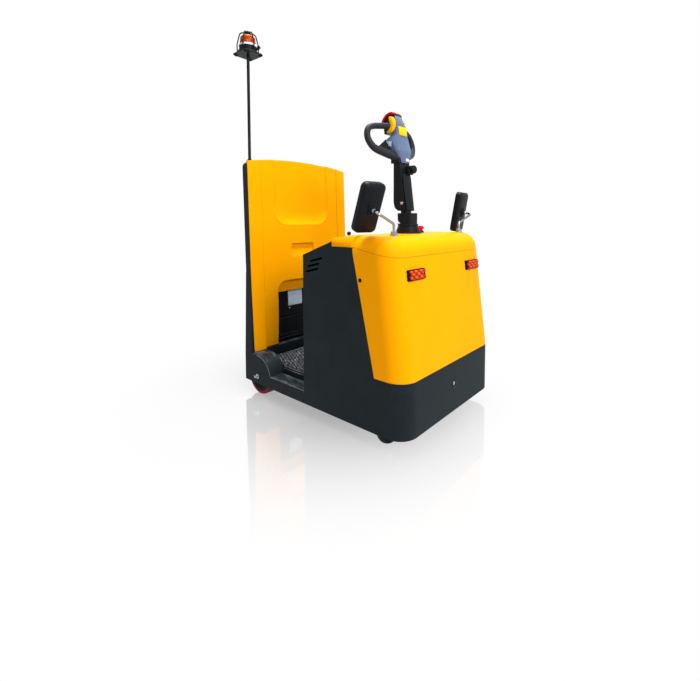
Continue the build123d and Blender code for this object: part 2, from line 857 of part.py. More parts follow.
# Drive unit: ring, spigot, motor and steering column in one, with a leg beside the drive wheel
ring_r = 92
ring_t = 20
leg_t = 26
leg_w = 100
leg_gap = 6
motor_r = 86
motor_top = 520
plate_low = bumper_top - plate_t
with BuildPart() as drive_unit:
    for radius, low, high in (
        (ring_r, plate_low - face_gap - ring_t, plate_low - face_gap),
        (spigot_r - face_gap, plate_low - face_gap, bumper_top + face_gap),
        (motor_r, bumper_top + face_gap, motor_top),
        (column_r, motor_top, boot_z),
    ):
        with BuildSketch(Plane.XY.offset(low)):
            with Locations((steer_x, 0)):
                Circle(radius)
        extrude(amount=high - low)
    with BuildSketch(Plane.XZ.offset(-(drive_w / 2 + leg_gap + leg_t))):
        with Locations((steer_x, drive_r)):
            Circle(leg_w / 2)
            Rectangle(leg_w, plate_low - face_gap - drive_r, align=(Align.CENTER, Align.MIN))
    extrude(amount=leg_t)
    with BuildSketch(Plane.XZ.offset(-(drive_w / 2 + leg_gap))):
        with Locations((steer_x, drive_r)):
            Circle(drive_axle_r)
    extrude(amount=drive_w + leg_gap)
keep(drive_unit, "drive_unit")

with BuildPart() as drive_disc:
    with BuildSketch(Plane.XZ.offset(-drive_w / 2)):
        with Locations((steer_x, drive_r)):
            Circle(drive_r)
            Circle(drive_axle_r + running_gap, mode=Mode.SUBTRACT)
    extrude(amount=drive_w)
    rims = edges().filter_by(GeomType.CIRCLE)
    chamfer(rims.filter_by(lambda e: e.radius > 2 * drive_axle_r), drive_edge)
keep(drive_disc, "drive_disc")

# Rear wheels: dished cast hub with a red polyurethane tread
hub_dish = 10
hub_boss_r = 30
for name, sign in SIDES:
    plane = Plane.XZ.offset(-(sign * rear_wheel_y + rear_w / 2))
    with BuildPart() as rear_hub:
        with BuildSketch(plane):
            with Locations((rear_axle_x, rear_r)):
                Circle(rear_rim_r)
                Circle(rear_axle_r + running_gap, mode=Mode.SUBTRACT)
        extrude(amount=rear_w)
        for start, depth in ((0, hub_dish), (rear_w, -hub_dish)):
            with BuildSketch(plane.offset(start)):
                with Locations((rear_axle_x, rear_r)):
                    Circle(rear_rim_r - hub_dish)
                    Circle(hub_boss_r, mode=Mode.SUBTRACT)
            extrude(amount=depth, mode=Mode.SUBTRACT)
    keep(rear_hub, f"rear_hub_{name}")
    with BuildPart() as rear_tyre:
        with BuildSketch(plane):
            with Locations((rear_axle_x, rear_r)):
                Circle(rear_r)
                Circle(rear_rim_r, mode=Mode.SUBTRACT)
        extrude(amount=rear_w)
        rims = edges().filter_by(GeomType.CIRCLE)
        chamfer(rims.filter_by(lambda e: e.radius > (rear_rim_r + rear_r) / 2), rear_edge)
    keep(rear_tyre, f"rear_tyre_{name}")

# Castors: fork with its kingpin, and a wheel behind it, both left turned as they last rolled
fork_t = 5
fork_gap = 3
crown_t = 8
crown_r = 32
for name, sign in SIDES:
    trail = Vector(-cos(radians(castor_yaw)), -sin(radians(castor_yaw)), 0)
    swivel = Vector(castor_x, sign * castor_y, 0)
    axle = swivel + trail * castor_trail + Vector(0, 0, castor_r)
    roll = Plane(origin=axle, x_dir=trail, z_dir=trail.cross(Vector(0, 0, 1)))
    with BuildPart() as castor_fork:
        with BuildSketch(Plane.XY.offset(castor_crown_z)):
            with Locations((swivel.X, swivel.Y)):
                Circle(castor_pin_r)
        extrude(amount=castor_pin_length)
        with BuildSketch(Plane.XY.offset(castor_crown_z)):
            with Locations((swivel.X, swivel.Y)):
                Circle(crown_r)
        extrude(amount=-crown_t)
        for start in (castor_w / 2 + fork_gap, -castor_w / 2 - fork_gap - fork_t):
            with BuildSketch(roll.offset(start)):
                with BuildLine():
                    Polyline(
                        (-castor_trail - crown_r * 0.7, castor_crown_z - castor_r - crown_t / 2),
                        (-castor_trail + crown_r * 0.7, castor_crown_z - castor_r - crown_t / 2),
                        (fork_t * 2, -fork_t * 2),
                        (-fork_t * 2, -fork_t * 2),
                        close=True,
                    )
                make_face()
            extrude(amount=fork_t)
        with BuildSketch(roll.offset(-castor_w / 2 - fork_gap - fork_t)):
            Circle(castor_axle_r)
        extrude(amount=castor_w + 2 * (fork_gap + fork_t))
    keep(castor_fork, f"castor_fork_{name}")
    with BuildPart() as castor_wheel:
        with BuildSketch(roll.offset(-castor_w / 2)):
            Circle(castor_r)
            Circle(castor_axle_r + running_gap, mode=Mode.SUBTRACT)
        extrude(amount=castor_w)
        rims = edges().filter_by(GeomType.CIRCLE)
        chamfer(rims.filter_by(lambda e: e.radius > castor_r / 2), castor_edge)
    keep(castor_wheel, f"castor_wheel_{name}")

# Black boot and neck on the steering column, with the tongue that carries the tiller's pivot
boot_r = 64
boot_waist_r = 46
neck_half = 38
neck_depth = 84
neck_r = 20
neck_x = steer_x - 4
notch_lip = neck_top - 14
notch_floor = boot_top + 5
notch_in = 11
notch_deep = 27
with BuildPart() as tiller_boot:
    for height, radius in ((boot_z, boot_r), (boot_top, boot_waist_r)):
        with BuildSketch(Plane.XY.offset(height)):
            with Locations((steer_x, 0)):
                Circle(radius)
    loft()
    with BuildSketch(Plane.XY.offset(boot_top)):
        with Locations((neck_x, 0)):
            RectangleRounded(neck_depth, 2 * neck_half, neck_r)
    extrude(amount=neck_top - boot_top)
    neck_rear = neck_x - neck_depth / 2
    with BuildSketch(Plane.XZ):
        with BuildLine():
            Polyline(
                (neck_rear - notch_in, notch_lip),
                (neck_rear, notch_lip),
                (neck_rear + notch_in, (notch_lip + 2 * notch_floor) / 3),
                (neck_rear + notch_deep, notch_floor),
                (neck_rear - notch_in, notch_floor),
                close=True,
            )
        make_face()
    extrude(amount=2 * neck_half, both=True, mode=Mode.SUBTRACT)
    with BuildSketch(Plane.XZ.offset(-tongue_half)):
        with Locations((pivot_x, pivot_z)):
            Circle(tongue_r)
            Rectangle(2 * tongue_r, pivot_z - neck_top, align=(Align.CENTER, Align.MAX))
    extrude(amount=2 * tongue_half)
    with BuildSketch(Plane.XZ.offset(-tongue_half)):
        with Locations((pivot_x, pivot_z)):
            Circle(pivot_r + running_gap)
    extrude(amount=2 * tongue_half, mode=Mode.SUBTRACT)
keep(tiller_boot, "tiller_boot")

# Tiller head: faceted cover with wings at the middle and a narrow spine above
HEAD = (  # height over the arm, middle x from the pivot, depth, half width, corner cut
    (0, -22, 40, 30, 8),
    (58, -34, 62, 62, 14),
    (108, -60, 90, 68, 24),
    (140, -43, 46, 42, 7),
    (198, -50, 38, 35, 7),
    (235, -62, 30, 27, 6),
)
with BuildPart() as tiller_head:
    for rise, middle, depth, reach, cut in HEAD:
        back = pivot_x + middle - depth / 2
        with BuildSketch(Plane.XY.offset(arm_top + rise)):
            with BuildLine():
                corner = [
                    (back, reach - cut),
                    (back + cut, reach),
                    (back + depth - cut, reach),
                    (back + depth, reach - cut),
                ]
                Polyline(*corner, *[(x, -y) for x, y in reversed(corner)], close=True)
            make_face()
    loft(ruled=True)
keep(tiller_head, "tiller_head")

# Tiller arm on its pivot bolt, slotted for the tongue through the whole tilt, with a yoke under the head
ARM = (  # x from the pivot, height over the pivot
    (-48, 5),
    (-41, -21),
    (-21, -37),
    (20, -37),
    (-10, arm_top - pivot_z),
    (-48, arm_top - pivot_z),
)
arm_front = pivot_x - 10
slot_half = tongue_r + tongue_clear
yoke_rear = pivot_x - 66
yoke_depth = 58
yoke_half = 46
yoke_h = 44
yoke_r = 12
with BuildPart() as tiller_arm:
    with BuildSketch(Plane.XZ.offset(-arm_half)):
        with BuildLine():
            Polyline(*[(pivot_x + x, pivot_z + z) for x, z in ARM], close=True)
        make_face()
    extrude(amount=2 * arm_half)
    with BuildSketch(Plane.XZ.offset(-tongue_half - arm_gap)):
        with Locations((pivot_x, pivot_z)):
            Circle(slot_half)
            Rectangle(8 * slot_half, 4 * slot_half, align=(Align.CENTER, Align.MAX))
            Rectangle(2 * slot_half, 4 * slot_half, rotation=-tilt_back, align=(Align.CENTER, Align.MAX))
    extrude(amount=2 * (tongue_half + arm_gap), mode=Mode.SUBTRACT)
    with BuildSketch(Plane.XZ.offset(-arm_half)):
        with Locations((pivot_x, pivot_z)):
            Circle(pivot_r)
    extrude(amount=2 * arm_half)
    with BuildSketch(Plane.XY.offset(arm_top)):
        with Locations((yoke_rear + yoke_depth / 2, 0)):
            RectangleRounded(yoke_depth, 2 * yoke_half, yoke_r)
    extrude(amount=yoke_h)
    add(tiller_head.part, mode=Mode.SUBTRACT)
keep(tiller_arm, "tiller_arm")

# Loop grips, from the head's foot round to its spine
GRIP = (  # x from the pivot, y, height over the arm
    (-24, 20, 22),
    (-58, 92, 44),
    (-76, 160, 62),
    (-92, 187, 114),
    (-100, 162, 168),
    (-74, 60, 180),
    (-56, 14, 186),
)
grip_r = 14.5
grip_bend = 46
with BuildPart() as tiller_grips:
    for name, sign in SIDES:
        with BuildLine() as route:
            FilletPolyline(*[(pivot_x + x, sign * y, arm_top + z) for x, y, z in GRIP], radius=grip_bend)
        with BuildSketch(Plane(origin=route.line @ 0, z_dir=route.line % 0)):
            RegularPolygon(grip_r, 12)
        sweep(path=route.line)
    add(tiller_head.part, mode=Mode.SUBTRACT)
    add(tiller_arm.part, mode=Mode.SUBTRACT)
keep(tiller_grips, "tiller_grips")

# Black core behind the head's spine, and the red belly switch bent over its rear and top
CORE = (  # x from the pivot, height over the arm
    (-112, 150),
    (-119, 204),
    (-101, 232),
    (-62, 243),
)
core_front = pivot_x - 52
core_half = 32
belly_half = 38
belly_t = 9
with BuildPart() as head_core:
    with BuildSketch(Plane.XZ):
        low, bend, crown, top = [(pivot_x + x, arm_top + z) for x, z in CORE]
        with BuildLine():
            Polyline((core_front, top[1]), (core_front, low[1]), low, bend)
            ThreePointArc(bend, crown, top)
            Line(top, (core_front, top[1]))
        make_face()
    extrude(amount=core_half, both=True)
    for solid in (tiller_head, tiller_grips):
        add(solid.part, mode=Mode.SUBTRACT)
keep(head_core, "head_core")

with BuildPart() as belly_switch:
    with BuildSketch(Plane.XZ):
        with BuildLine():
            inner = ThreePointArc(bend, crown, top)
            outer = ThreePointArc(
                (bend[0] - belly_t, bend[1]),
                (crown[0] - belly_t * sin(radians(draft)), crown[1] + belly_t * cos(radians(draft))),
                (top[0], top[1] + belly_t),
            )
            Line(inner @ 0, outer @ 0)
            Line(inner @ 1, outer @ 1)
        make_face()
    extrude(amount=belly_half, both=True)
    for solid in (tiller_head, tiller_grips, head_core):
        add(solid.part, mode=Mode.SUBTRACT)
keep(belly_switch, "belly_switch")

# Thumb paddles: yellow plates round the grips, beside the head's spine
paddle_w = 44
paddle_h = 68
paddle_r = 20
paddle_t = 26
paddle_y = 34
paddle_x = pivot_x - 66
paddle_z = arm_top + 184
with BuildPart() as thumb_paddles:
    for name, sign in SIDES:
        with BuildSketch(Plane.XZ.offset(-sign * paddle_y)):
            with Locations((paddle_x, paddle_z)):
                RectangleRounded(paddle_w, paddle_h, paddle_r)
        extrude(amount=-sign * paddle_t)
    for solid in (tiller_head, tiller_grips, head_core, belly_switch):
        add(solid.part, mode=Mode.SUBTRACT)
keep(thumb_paddles, "thumb_paddles")

# Knob on the front of the arm
knob_r = 20
knob_t = 46
knob_edge = 5
knob_y = 26
knob_z = arm_top - 30
with BuildPart() as arm_knob:
    with BuildSketch(Plane.YZ.offset(arm_front)):
        with Locations((knob_y, knob_z)):
            Circle(knob_r)
    extrude(amount=knob_t)
    chamfer(edges().group_by(Axis.X)[-1], knob_edge)
    add(tiller_arm.part, mode=Mode.SUBTRACT)
keep(arm_knob, "arm_knob")
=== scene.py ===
# %% [markdown]
# # A stand-on tow tractor, dressed in Blender
# The CAD model gives every main form, in metres: x points forward, y to the vehicle's left, z up.
# This lesson loads it, sets up the camera and a pale studio, paints each finish with nodes, and then
# adds the small pieces that make the vehicle look like a real one.

# %% Load the frame
import bpy
import bmesh
import json
import random
from bmesh import ops
from math import cos, pi, radians, sin
from mathutils import Matrix, Vector
from mathutils.geometry import interpolate_bezier


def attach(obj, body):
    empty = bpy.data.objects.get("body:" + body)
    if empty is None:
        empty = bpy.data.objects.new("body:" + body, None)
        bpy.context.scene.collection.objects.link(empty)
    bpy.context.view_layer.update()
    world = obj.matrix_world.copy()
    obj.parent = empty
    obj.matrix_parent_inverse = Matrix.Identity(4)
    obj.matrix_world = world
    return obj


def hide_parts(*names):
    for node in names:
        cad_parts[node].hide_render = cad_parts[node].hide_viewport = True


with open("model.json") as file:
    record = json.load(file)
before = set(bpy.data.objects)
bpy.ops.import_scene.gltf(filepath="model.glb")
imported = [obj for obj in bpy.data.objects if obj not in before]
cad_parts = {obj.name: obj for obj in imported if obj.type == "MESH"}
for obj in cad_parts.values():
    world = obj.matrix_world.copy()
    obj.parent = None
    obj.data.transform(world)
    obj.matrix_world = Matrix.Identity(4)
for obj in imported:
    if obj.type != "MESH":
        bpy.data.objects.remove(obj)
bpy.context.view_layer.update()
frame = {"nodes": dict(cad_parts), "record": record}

scene = bpy.context.scene
scene.view_settings.view_transform = "Standard"
SIDES = {"right": -1, "left": 1}
SIGNS = tuple(SIDES.values())

# %% [markdown]
# ## The camera
# The photograph was taken from the front right, a little above the hood. Its place and lens were worked
# out from the edges of the vehicle, so the numbers are written here as they came out. The object stands
# left of and above the middle of the picture, which is a shift of the lens and not a turn of the camera.

# %% Camera
optics = bpy.data.cameras.new("camera")
optics.sensor_width = 36
optics.lens = 21.142
optics.shift_x = -0.02737
optics.shift_y = -0.14284
optics.clip_end = 60
camera = bpy.data.objects.new("camera", optics)
camera.location = (1.48633, -1.67866, 0.95139)
camera.rotation_euler = (radians(86.92), 0, radians(40.05))
scene.collection.objects.link(camera)
scene.camera = camera
print("camera lens", optics.lens, "mm")

# %% [markdown]
# ## Writing shader maths as sums
# Node trees get hard to read when every sum is three lines. A small class wraps a socket, so that
# 1 - mask or height * 0.5 adds the Math nodes by itself. A finish then has one method that makes any
# other node: it takes the type, its settings and the values or links of its inputs.

# %% Shader helpers
class Value:
    """A shader socket that can be used in sums."""

    def __init__(self, finish, socket):
        self.finish, self.socket = finish, socket

    def sum(self, operation, other, swapped=False):
        first, second = (other, self) if swapped else (self, other)
        return self.finish.node("Math", {"operation": operation}, {0: first, 1: second})

    def __add__(self, other): return self.sum("ADD", other)
    def __radd__(self, other): return self.sum("ADD", other, True)
    def __rsub__(self, other): return self.sum("SUBTRACT", other, True)
    def __mul__(self, other): return self.sum("MULTIPLY", other)


class Finish:
    """A material or world with its main shader, and one method that adds any other node."""

    def __init__(self, name, kind=bpy.data.materials, shader="Principled BSDF", **sockets):
        self.material = kind.new(name)
        self.material.use_nodes = True
        self.tree = self.material.node_tree
        self.shader = self.tree.nodes[shader]
        self.set(**sockets)

    def fill(self, node, key, value):
        socket = node.inputs[key]
        if isinstance(value, Value):
            self.tree.links.new(value.socket, socket)
        else:
            socket.default_value = (*value, 1) if socket.type == "RGBA" else value

    def set(self, **sockets):
        """Fill the shader's sockets; a name such as base_color is read as Base Color."""
        for key, value in sockets.items():
            self.fill(self.shader, key.replace("_", " ").title().replace("Ior", "IOR"), value)

    def node(self, kind, settings=None, inputs=None, out=0):
        node = self.tree.nodes.new("ShaderNode" + kind)
        for key, value in (settings or {}).items():
            setattr(node, key, value)
        for key, value in (inputs or {}).items():
            self.fill(node, key, value)
        return Value(self, node.outputs[out])


print("shader helpers ready")

# %% [markdown]
# ## Patterns that several finishes share
# Moulded plastic, powder coat and rubber differ in scale more than in kind. All of them read Object
# coordinates, because every object here sits at the origin and keeps its place in its mesh. The Bevel
# node rounds the light on sharp CAD edges, and comparing its normal with the true one finds the edges,
# which is where paint rubs off first.

# %% Pattern helpers
def coords(f):
    return f.node("TexCoord", out="Object")


def along(f, axis, vector=None):
    """One axis of a vector, or of the place on the object."""
    return f.node("SeparateXYZ", inputs={0: vector or coords(f)}, out=axis)


def noise(f, scale, detail=2.0, rough=0.5, stretch=None):
    where = coords(f)
    if stretch:
        where = f.node("Mapping", inputs={"Vector": where, "Scale": stretch})
    return f.node("TexNoise", inputs={"Vector": where, "Scale": scale, "Detail": detail, "Roughness": rough})


def ramp(f, value, low, high):
    """0 below low, 1 above high."""
    return f.node("MapRange", inputs={"Value": value, "From Min": low, "From Max": high})


def blend(f, factor, first, second):
    """Mix of two colours."""
    return f.node("Mix", {"data_type": "RGBA"}, {0: factor, 6: first, 7: second}, out=2)


def true_normal(f):
    return f.node("NewGeometry", out="Normal")


def soft_normal(f, radius):
    return f.node("Bevel", {"samples": 4}, {"Radius": radius})


def dot(f, first, second):
    return f.node("VectorMath", {"operation": "DOT_PRODUCT"}, {0: first, 1: second}, out="Value")


def edge_mask(f, radius):
    """1 on sharp edges, 0 on flats."""
    return ramp(f, 1 - dot(f, soft_normal(f, radius), true_normal(f)), 0.05, 0.28)


def bump(f, height, depth, radius):
    """A bumped normal that also rounds sharp edges."""
    return f.node("Bump", inputs={"Strength": 1.0, "Distance": depth, "Height": height,
                                  "Normal": soft_normal(f, radius)})


MADE = {}


def make(recipe, rows):
    """Make a finish for each row of a table: its name, then what the recipe asks for."""
    for name, *values in rows:
        MADE[name] = recipe(name, *values)
    print(recipe.__name__, "made", *(row[0] for row in rows))


print("pattern helpers ready")

# %% [markdown]
# ## Yellow covers
# The nose and the backrest are thick moulded plastic in a warm yellow. The surface has a slight orange
# peel that softens reflections, and dust and rub marks low down where boots reach. It mirrors very
# little, because a white studio would wash out the colour. The red buttons take the same recipe.

# %% Moulded finishes
RUBBED = (0.36, 0.21, 0.05)
BOOTS_BELOW, BOOTS_UP_TO = 0.28, 0.55


def moulded(name, colour, deep):
    f = Finish(name, specular_ior_level=0.02)
    drift = ramp(f, noise(f, scale=3.5, detail=3), 0.3, 0.7)
    low = 1 - ramp(f, along(f, "Z"), BOOTS_BELOW, BOOTS_UP_TO)
    marks = ramp(f, noise(f, scale=38, detail=5, rough=0.62, stretch=(1, 1, 0.35)), 0.6, 0.72) * low
    f.set(base_color=blend(f, marks * 0.1, blend(f, drift, colour, deep), RUBBED),
          roughness=0.3 + noise(f, scale=60, detail=3) * 0.12 + marks * 0.2,
          normal=bump(f, noise(f, scale=420), depth=0.00012, radius=0.006))
    return f.material


make(moulded, (  # name, colour, deeper colour
    ("yellow_moulding", (0.95, 0.368, 0.0005), (0.93, 0.35, 0.0003)),
    ("paddle_yellow", (0.93, 0.5, 0.004), (0.88, 0.45, 0.003)),
    ("signal_red", (0.68, 0.004, 0.022), (0.6, 0.003, 0.018)),
))

# %% [markdown]
# ## Dark steel and dark plastic
# The bumper, side panels and tower are steel with an anthracite powder coat: a fine pebble that breaks
# up the gloss, and paler lines along the folds. The mouldings on the tiller and mirrors are black
# plastic with a spark-eroded grain. All of them share one recipe with other numbers. Low faces that look
# up, such as the sills, are scuffed by boots.

# %% Dark finishes
DUST, SCUFF = (0.1, 0.1, 0.1), (0.16, 0.175, 0.19)
SILLS_BELOW, SILLS_UP_TO = 0.2, 0.26


def dark_coat(name, colour, worn, grain, depth, rough, radius, wear, gloss):
    f = Finish(name, specular_ior_level=gloss)
    cloud = noise(f, scale=9, detail=4)
    shade = blend(f, ramp(f, cloud, 0.35, 0.7), colour, tuple(c * 1.3 for c in colour))
    dust = ramp(f, noise(f, scale=24, detail=6, rough=0.65), 0.58, 0.75)
    shade = blend(f, dust * 0.05, shade, DUST)
    looks_up = ramp(f, along(f, "Z", true_normal(f)), 0.75, 0.97)
    trodden = looks_up * (1 - ramp(f, along(f, "Z"), SILLS_BELOW, SILLS_UP_TO))
    scuffs = ramp(f, noise(f, scale=26, detail=6, rough=0.7, stretch=(0.35, 1, 1)), 0.46, 0.66) * trodden
    shade = blend(f, scuffs * 0.55, shade, SCUFF)
    edges = edge_mask(f, radius) * ramp(f, noise(f, scale=45, detail=4), 0.42, 0.6)
    f.set(base_color=blend(f, edges * wear, shade, worn), roughness=rough + cloud * 0.14 + dust * 0.1,
          normal=bump(f, noise(f, grain), depth, radius))
    return f.material


make(dark_coat, (  # name, colour, worn colour, grain's scale and depth, roughness, edge radius, wear, gloss
    ("dark_panel", (0.0105, 0.0155, 0.0182), (0.09, 0.1, 0.11), 1100, 0.0001, 0.4, 0.0025, 0.4, 0.06),
    ("dark_plastic", (0.0044, 0.0054, 0.0068), (0.03, 0.033, 0.037), 1500, 0.00005, 0.3, 0.002, 0.3, 0.1),
    ("battery_case", (0.02, 0.022, 0.025), (0.12, 0.12, 0.12), 600, 0.0002, 0.45, 0.002, 0.4, 0.06),
    ("tiller_grey", (0.085, 0.125, 0.21), (0.24, 0.3, 0.42), 1400, 0.00003, 0.3, 0.0025, 0.4, 0.15),
    ("hub_iron", (0.014, 0.015, 0.017), (0.1, 0.1, 0.1), 260, 0.0004, 0.5, 0.002, 0.5, 0.06),
))

# %% [markdown]
# ## Rubber and tread
# Grips, mat and tyres are rubber and polyurethane. They are rough, take dust in their grain, and have almost
# no clear reflection. The mat's pebbles are painted pale in patches, and this is painted glints as well as
# dust.

# %% Rubber finishes
def rubber(name, colour, dust_and_glint_colour, grain, depth, rough):
    f = Finish(name, specular_ior_level=0.12)
    dust = ramp(f, noise(f, scale=30, detail=6, rough=0.7), 0.5, 0.75)
    f.set(base_color=blend(f, dust * 0.45, colour, dust_and_glint_colour), roughness=rough + dust * 0.15,
          normal=bump(f, noise(f, grain, detail=3), depth, radius=0.0015))
    return f.material


make(rubber, (  # name, colour, dust colour that on the pebbles is also their painted glints, grain's scale and depth, roughness
    ("grip_rubber", (0.018, 0.0195, 0.025), (0.03, 0.032, 0.037), 900, 0.00015, 0.42),
    ("mat_rubber", (0.018, 0.02, 0.023), (0.06, 0.063, 0.068), 500, 0.0004, 0.4),
    # The pebbles' pale colour is painted glints as well as dust.
    ("pebble_rubber", (0.07, 0.078, 0.088), (0.62, 0.66, 0.7), 60, 0.0003, 0.25),
    ("red_tread", (0.2, 0.008, 0.02), (0.14, 0.03, 0.033), 300, 0.0003, 0.42),
    ("black_tread", (0.02, 0.02, 0.022), (0.07, 0.068, 0.065), 300, 0.0003, 0.55),
))

# %% [markdown]
# ## Bright metal, glass and lenses
# Bolts are brushed steel, the mirror stalks are plated, and the mirrors are silvered glass. The lamps and the
# beacon are coloured plastic full of prisms, and their bright and dark cells are painted glints: two sine
# waves across the lens place the bright ones, and facets that look up are painted lighter, as painted light
# from above.

# %% Bright finishes
# The waves place the painted glints on the lenses.
PAINTED_GLINT_WAVES = (("Y", 168), ("Z", 254))  # axis, and radians for each metre along it


def metal(name, colour, rough, brush, stretch):
    f = Finish(name, metallic=1.0)
    streak = noise(f, brush, detail=3, stretch=stretch)
    f.set(base_color=blend(f, streak * 0.35, colour, tuple(c * 0.6 for c in colour)),
          roughness=rough + streak * 0.12, normal=bump(f, streak, depth=0.00004, radius=0.001))
    return f.material


def lens(name, colour, painted_glint_colour, cells):
    f = Finish(name, transmission_weight=0.05, specular_ior_level=0.05)
    cell = f.node("TexVoronoi", inputs={"Vector": coords(f), "Scale": cells}, out="Distance")
    # Painted glints on the prisms: the waves set the bright cells, and facets that look up are painted
    # lighter, as painted light from above.
    across, upward = (f.node("Math", {"operation": "SINE"}, {0: along(f, axis) * step})
                      for axis, step in PAINTED_GLINT_WAVES)
    painted_facet_light = dot(f, true_normal(f), (0, 0.9, 1))
    painted_glints = ramp(f, across * upward, -0.25, 0.6) * 0.75 + ramp(f, painted_facet_light, -0.1, 0.45) * 0.25
    f.set(base_color=blend(f, painted_glints, colour, painted_glint_colour), roughness=0.12 + cell * 0.15,
          normal=bump(f, cell, depth=0.0003, radius=0.001))
    return f.material


def plain_gloss(name, colour, second, rough, scale):
    f = Finish(name, specular_ior_level=0.4)
    cloud = noise(f, scale, detail=4)
    f.set(base_color=blend(f, ramp(f, cloud, 0.35, 0.7), colour, second), roughness=rough + cloud * 0.15,
          normal=bump(f, noise(f, scale=700), depth=0.00005, radius=0.001))
    return f.material


make(metal, (  # name, colour, roughness, scale of the brush marks, their stretch
    ("bright_steel", (0.42, 0.42, 0.43), 0.26, 60, (1, 1, 14)),
    ("chrome", (0.34, 0.34, 0.36), 0.1, 60, (1, 1, 0.3)),
    ("mirror_glass", (0.86, 0.88, 0.9), 0.02, 12, (1, 1, 1)),
))
make(lens, (  # name, dark colour, painted glint colour, scale of the ripple
    ("lamp_red", (0.3, 0.005, 0.001), (0.9, 0.12, 0.008), 150),
    ("beacon_amber", (0.36, 0.05, 0.003), (0.66, 0.16, 0.01), 90),
))
make(plain_gloss, (  # name, colour, second colour, roughness, scale of the clouds
    ("label_white", (0.7, 0.8, 0.96), (0.55, 0.65, 0.84), 0.3, 60),
    # The pale colour of the rolled edges is a painted highlight.
    ("worn_edge", (0.16, 0.17, 0.185), (0.03, 0.032, 0.036), 0.35, 30),
    ("dark_glass", (0.004, 0.005, 0.006), (0.008, 0.01, 0.012), 0.05, 8),
    ("button_green", (0.01, 0.25, 0.06), (0.008, 0.2, 0.05), 0.3, 50),
))

# %% [markdown]
# ## Dressing the CAD nodes
# The record says which slot each node takes, so one loop paints them all. Their shapes stay as they are.

# %% Paint the nodes
SLOTS = {row["slot"] for row in frame["record"]["materials"]}
painted = frame["record"]["subparts"]
for row in painted:
    node = frame["nodes"][row["node"]]
    node.data.materials.clear()
    node.data.materials.append(MADE[row["material_slot"]])
print("painted", len(painted), "nodes in", len(SLOTS), "of", len(MADE), "finishes")

# %% [markdown]
# ## Floor and light
# A pale floor keeps the shadow and, close to the wheels, a faint reflection. Far out it turns into plain
# white, so no horizon shows. The world is white for the camera and for reflections, and a softer white as
# light. A lamp high above draws the edge of the backrest's recess, one at the front right lights the face
# that the picture shows most of, and a weak one in front fills the nose.

# %% Floor
FLOOR_REACH = 14
MIDDLE, MIRROR_END, WHITE_START = (-0.2, 0, 0), 0.35, 1.3
MIRROR_SHARE, WHITE_SHARE = 0.58, 0.4


def seen_rays(f):
    """1 for rays from the camera, mirrors and glass, 0 for those that only carry light."""
    rays = [f.node("LightPath", out=f"Is {kind} Ray") for kind in ("Camera", "Glossy", "Transmission")]
    return rays[0].sum("MAXIMUM", rays[1]).sum("MAXIMUM", rays[2])


def into_scene(name, bm, material):
    """Turn a bmesh into an object at the origin."""
    mesh = bpy.data.meshes.new(name)
    bm.to_mesh(mesh)
    bm.free()
    mesh.materials.append(material)
    thing = bpy.data.objects.new(name, mesh)
    scene.collection.objects.link(thing)
    return thing


pale = Finish("pale_floor", base_color=(0.58, 0.58, 0.585), specular_ior_level=0.5)
spread = pale.node("VectorMath", {"operation": "DISTANCE"}, {0: coords(pale), 1: MIDDLE}, out="Value")
fade = pale.node("MapRange", {"interpolation_type": "SMOOTHSTEP"}, {0: spread, 1: MIRROR_END, 2: WHITE_START})
seen = seen_rays(pale)
pale.set(roughness=0.06 + fade * 0.7)
principled = Value(pale, pale.shader.outputs[0])
white = pale.node("Emission", inputs={"Color": (1, 1, 1), "Strength": 1.0})
polish = pale.node("BsdfGlossy", inputs={"Color": (1, 1, 1), "Roughness": 0.05})
shown = pale.node("MixShader", inputs={0: seen * MIRROR_SHARE, 1: principled, 2: polish})
whiteness = WHITE_SHARE + fade * (1 - WHITE_SHARE)
seamless = pale.node("MixShader", inputs={0: seen * whiteness, 1: shown, 2: white})
pale.tree.links.new(seamless.socket, pale.tree.nodes["Material Output"].inputs["Surface"])
bm = bmesh.new()
ops.create_grid(bm, x_segments=1, y_segments=1, size=FLOOR_REACH)
floor = into_scene("floor", bm, pale.material)
print("floor of", 2 * FLOOR_REACH, "metres")

# %% World and lamps
WORLD_LIGHT = 0.52
sky = Finish("studio", bpy.data.worlds, "Background", color=(1, 1, 1))
sky.set(strength=WORLD_LIGHT + seen_rays(sky) * (1 - WORLD_LIGHT))
scene.world = sky.material
LAMPS = (  # name, place, aim, size, watts
    ("top_lamp", (0.1, 0.1, 3.6), (0.1, 0, 0.6), 1.6, 120),
    ("right_lamp", (3.5, -0.95, 2.5), (-0.3, -0.1, 0.5), 1.6, 102),
    ("front_lamp", (3.4, 0.6, 1.5), (0.3, 0, 0.5), 1.8, 18),
)
for name, spot, aim, size, watts in LAMPS:
    lamp = bpy.data.lights.new(name, "AREA")
    lamp.size, lamp.energy = size, watts
    holder = bpy.data.objects.new(name, lamp)
    holder.location = spot
    holder.rotation_euler = (Vector(aim) - Vector(spot)).to_track_quat("-Z", "Y").to_euler()
    scene.collection.objects.link(holder)
print(len(LAMPS), "lamps and a white world")

# %% [markdown]
# ## Modelling helpers
# Every new piece is drawn in millimetres, in the vehicle's own frame, and turned into metres when it is
# done. A matrix says where a small shape goes: its z axis points out of the surface that carries it. The
# helpers start from a bmesh shape or a few points, and operators do the rest.

# %% Mesh helpers
UP, AHEAD, BEHIND = (0, 0, 1), (1, 0, 0), (-1, 0, 0)


def facing(origin, normal=UP, up=UP):
    """Matrix at origin with its z axis along normal and its y axis near up."""
    z = Vector(normal).normalized()
    x = Vector(up).cross(z)
    x = x.normalized() if x.length > 0.001 else Vector((1, 0, 0))
    turn = Matrix((x, z.cross(x), z)).transposed().to_4x4()
    return Matrix.Translation(origin) @ turn


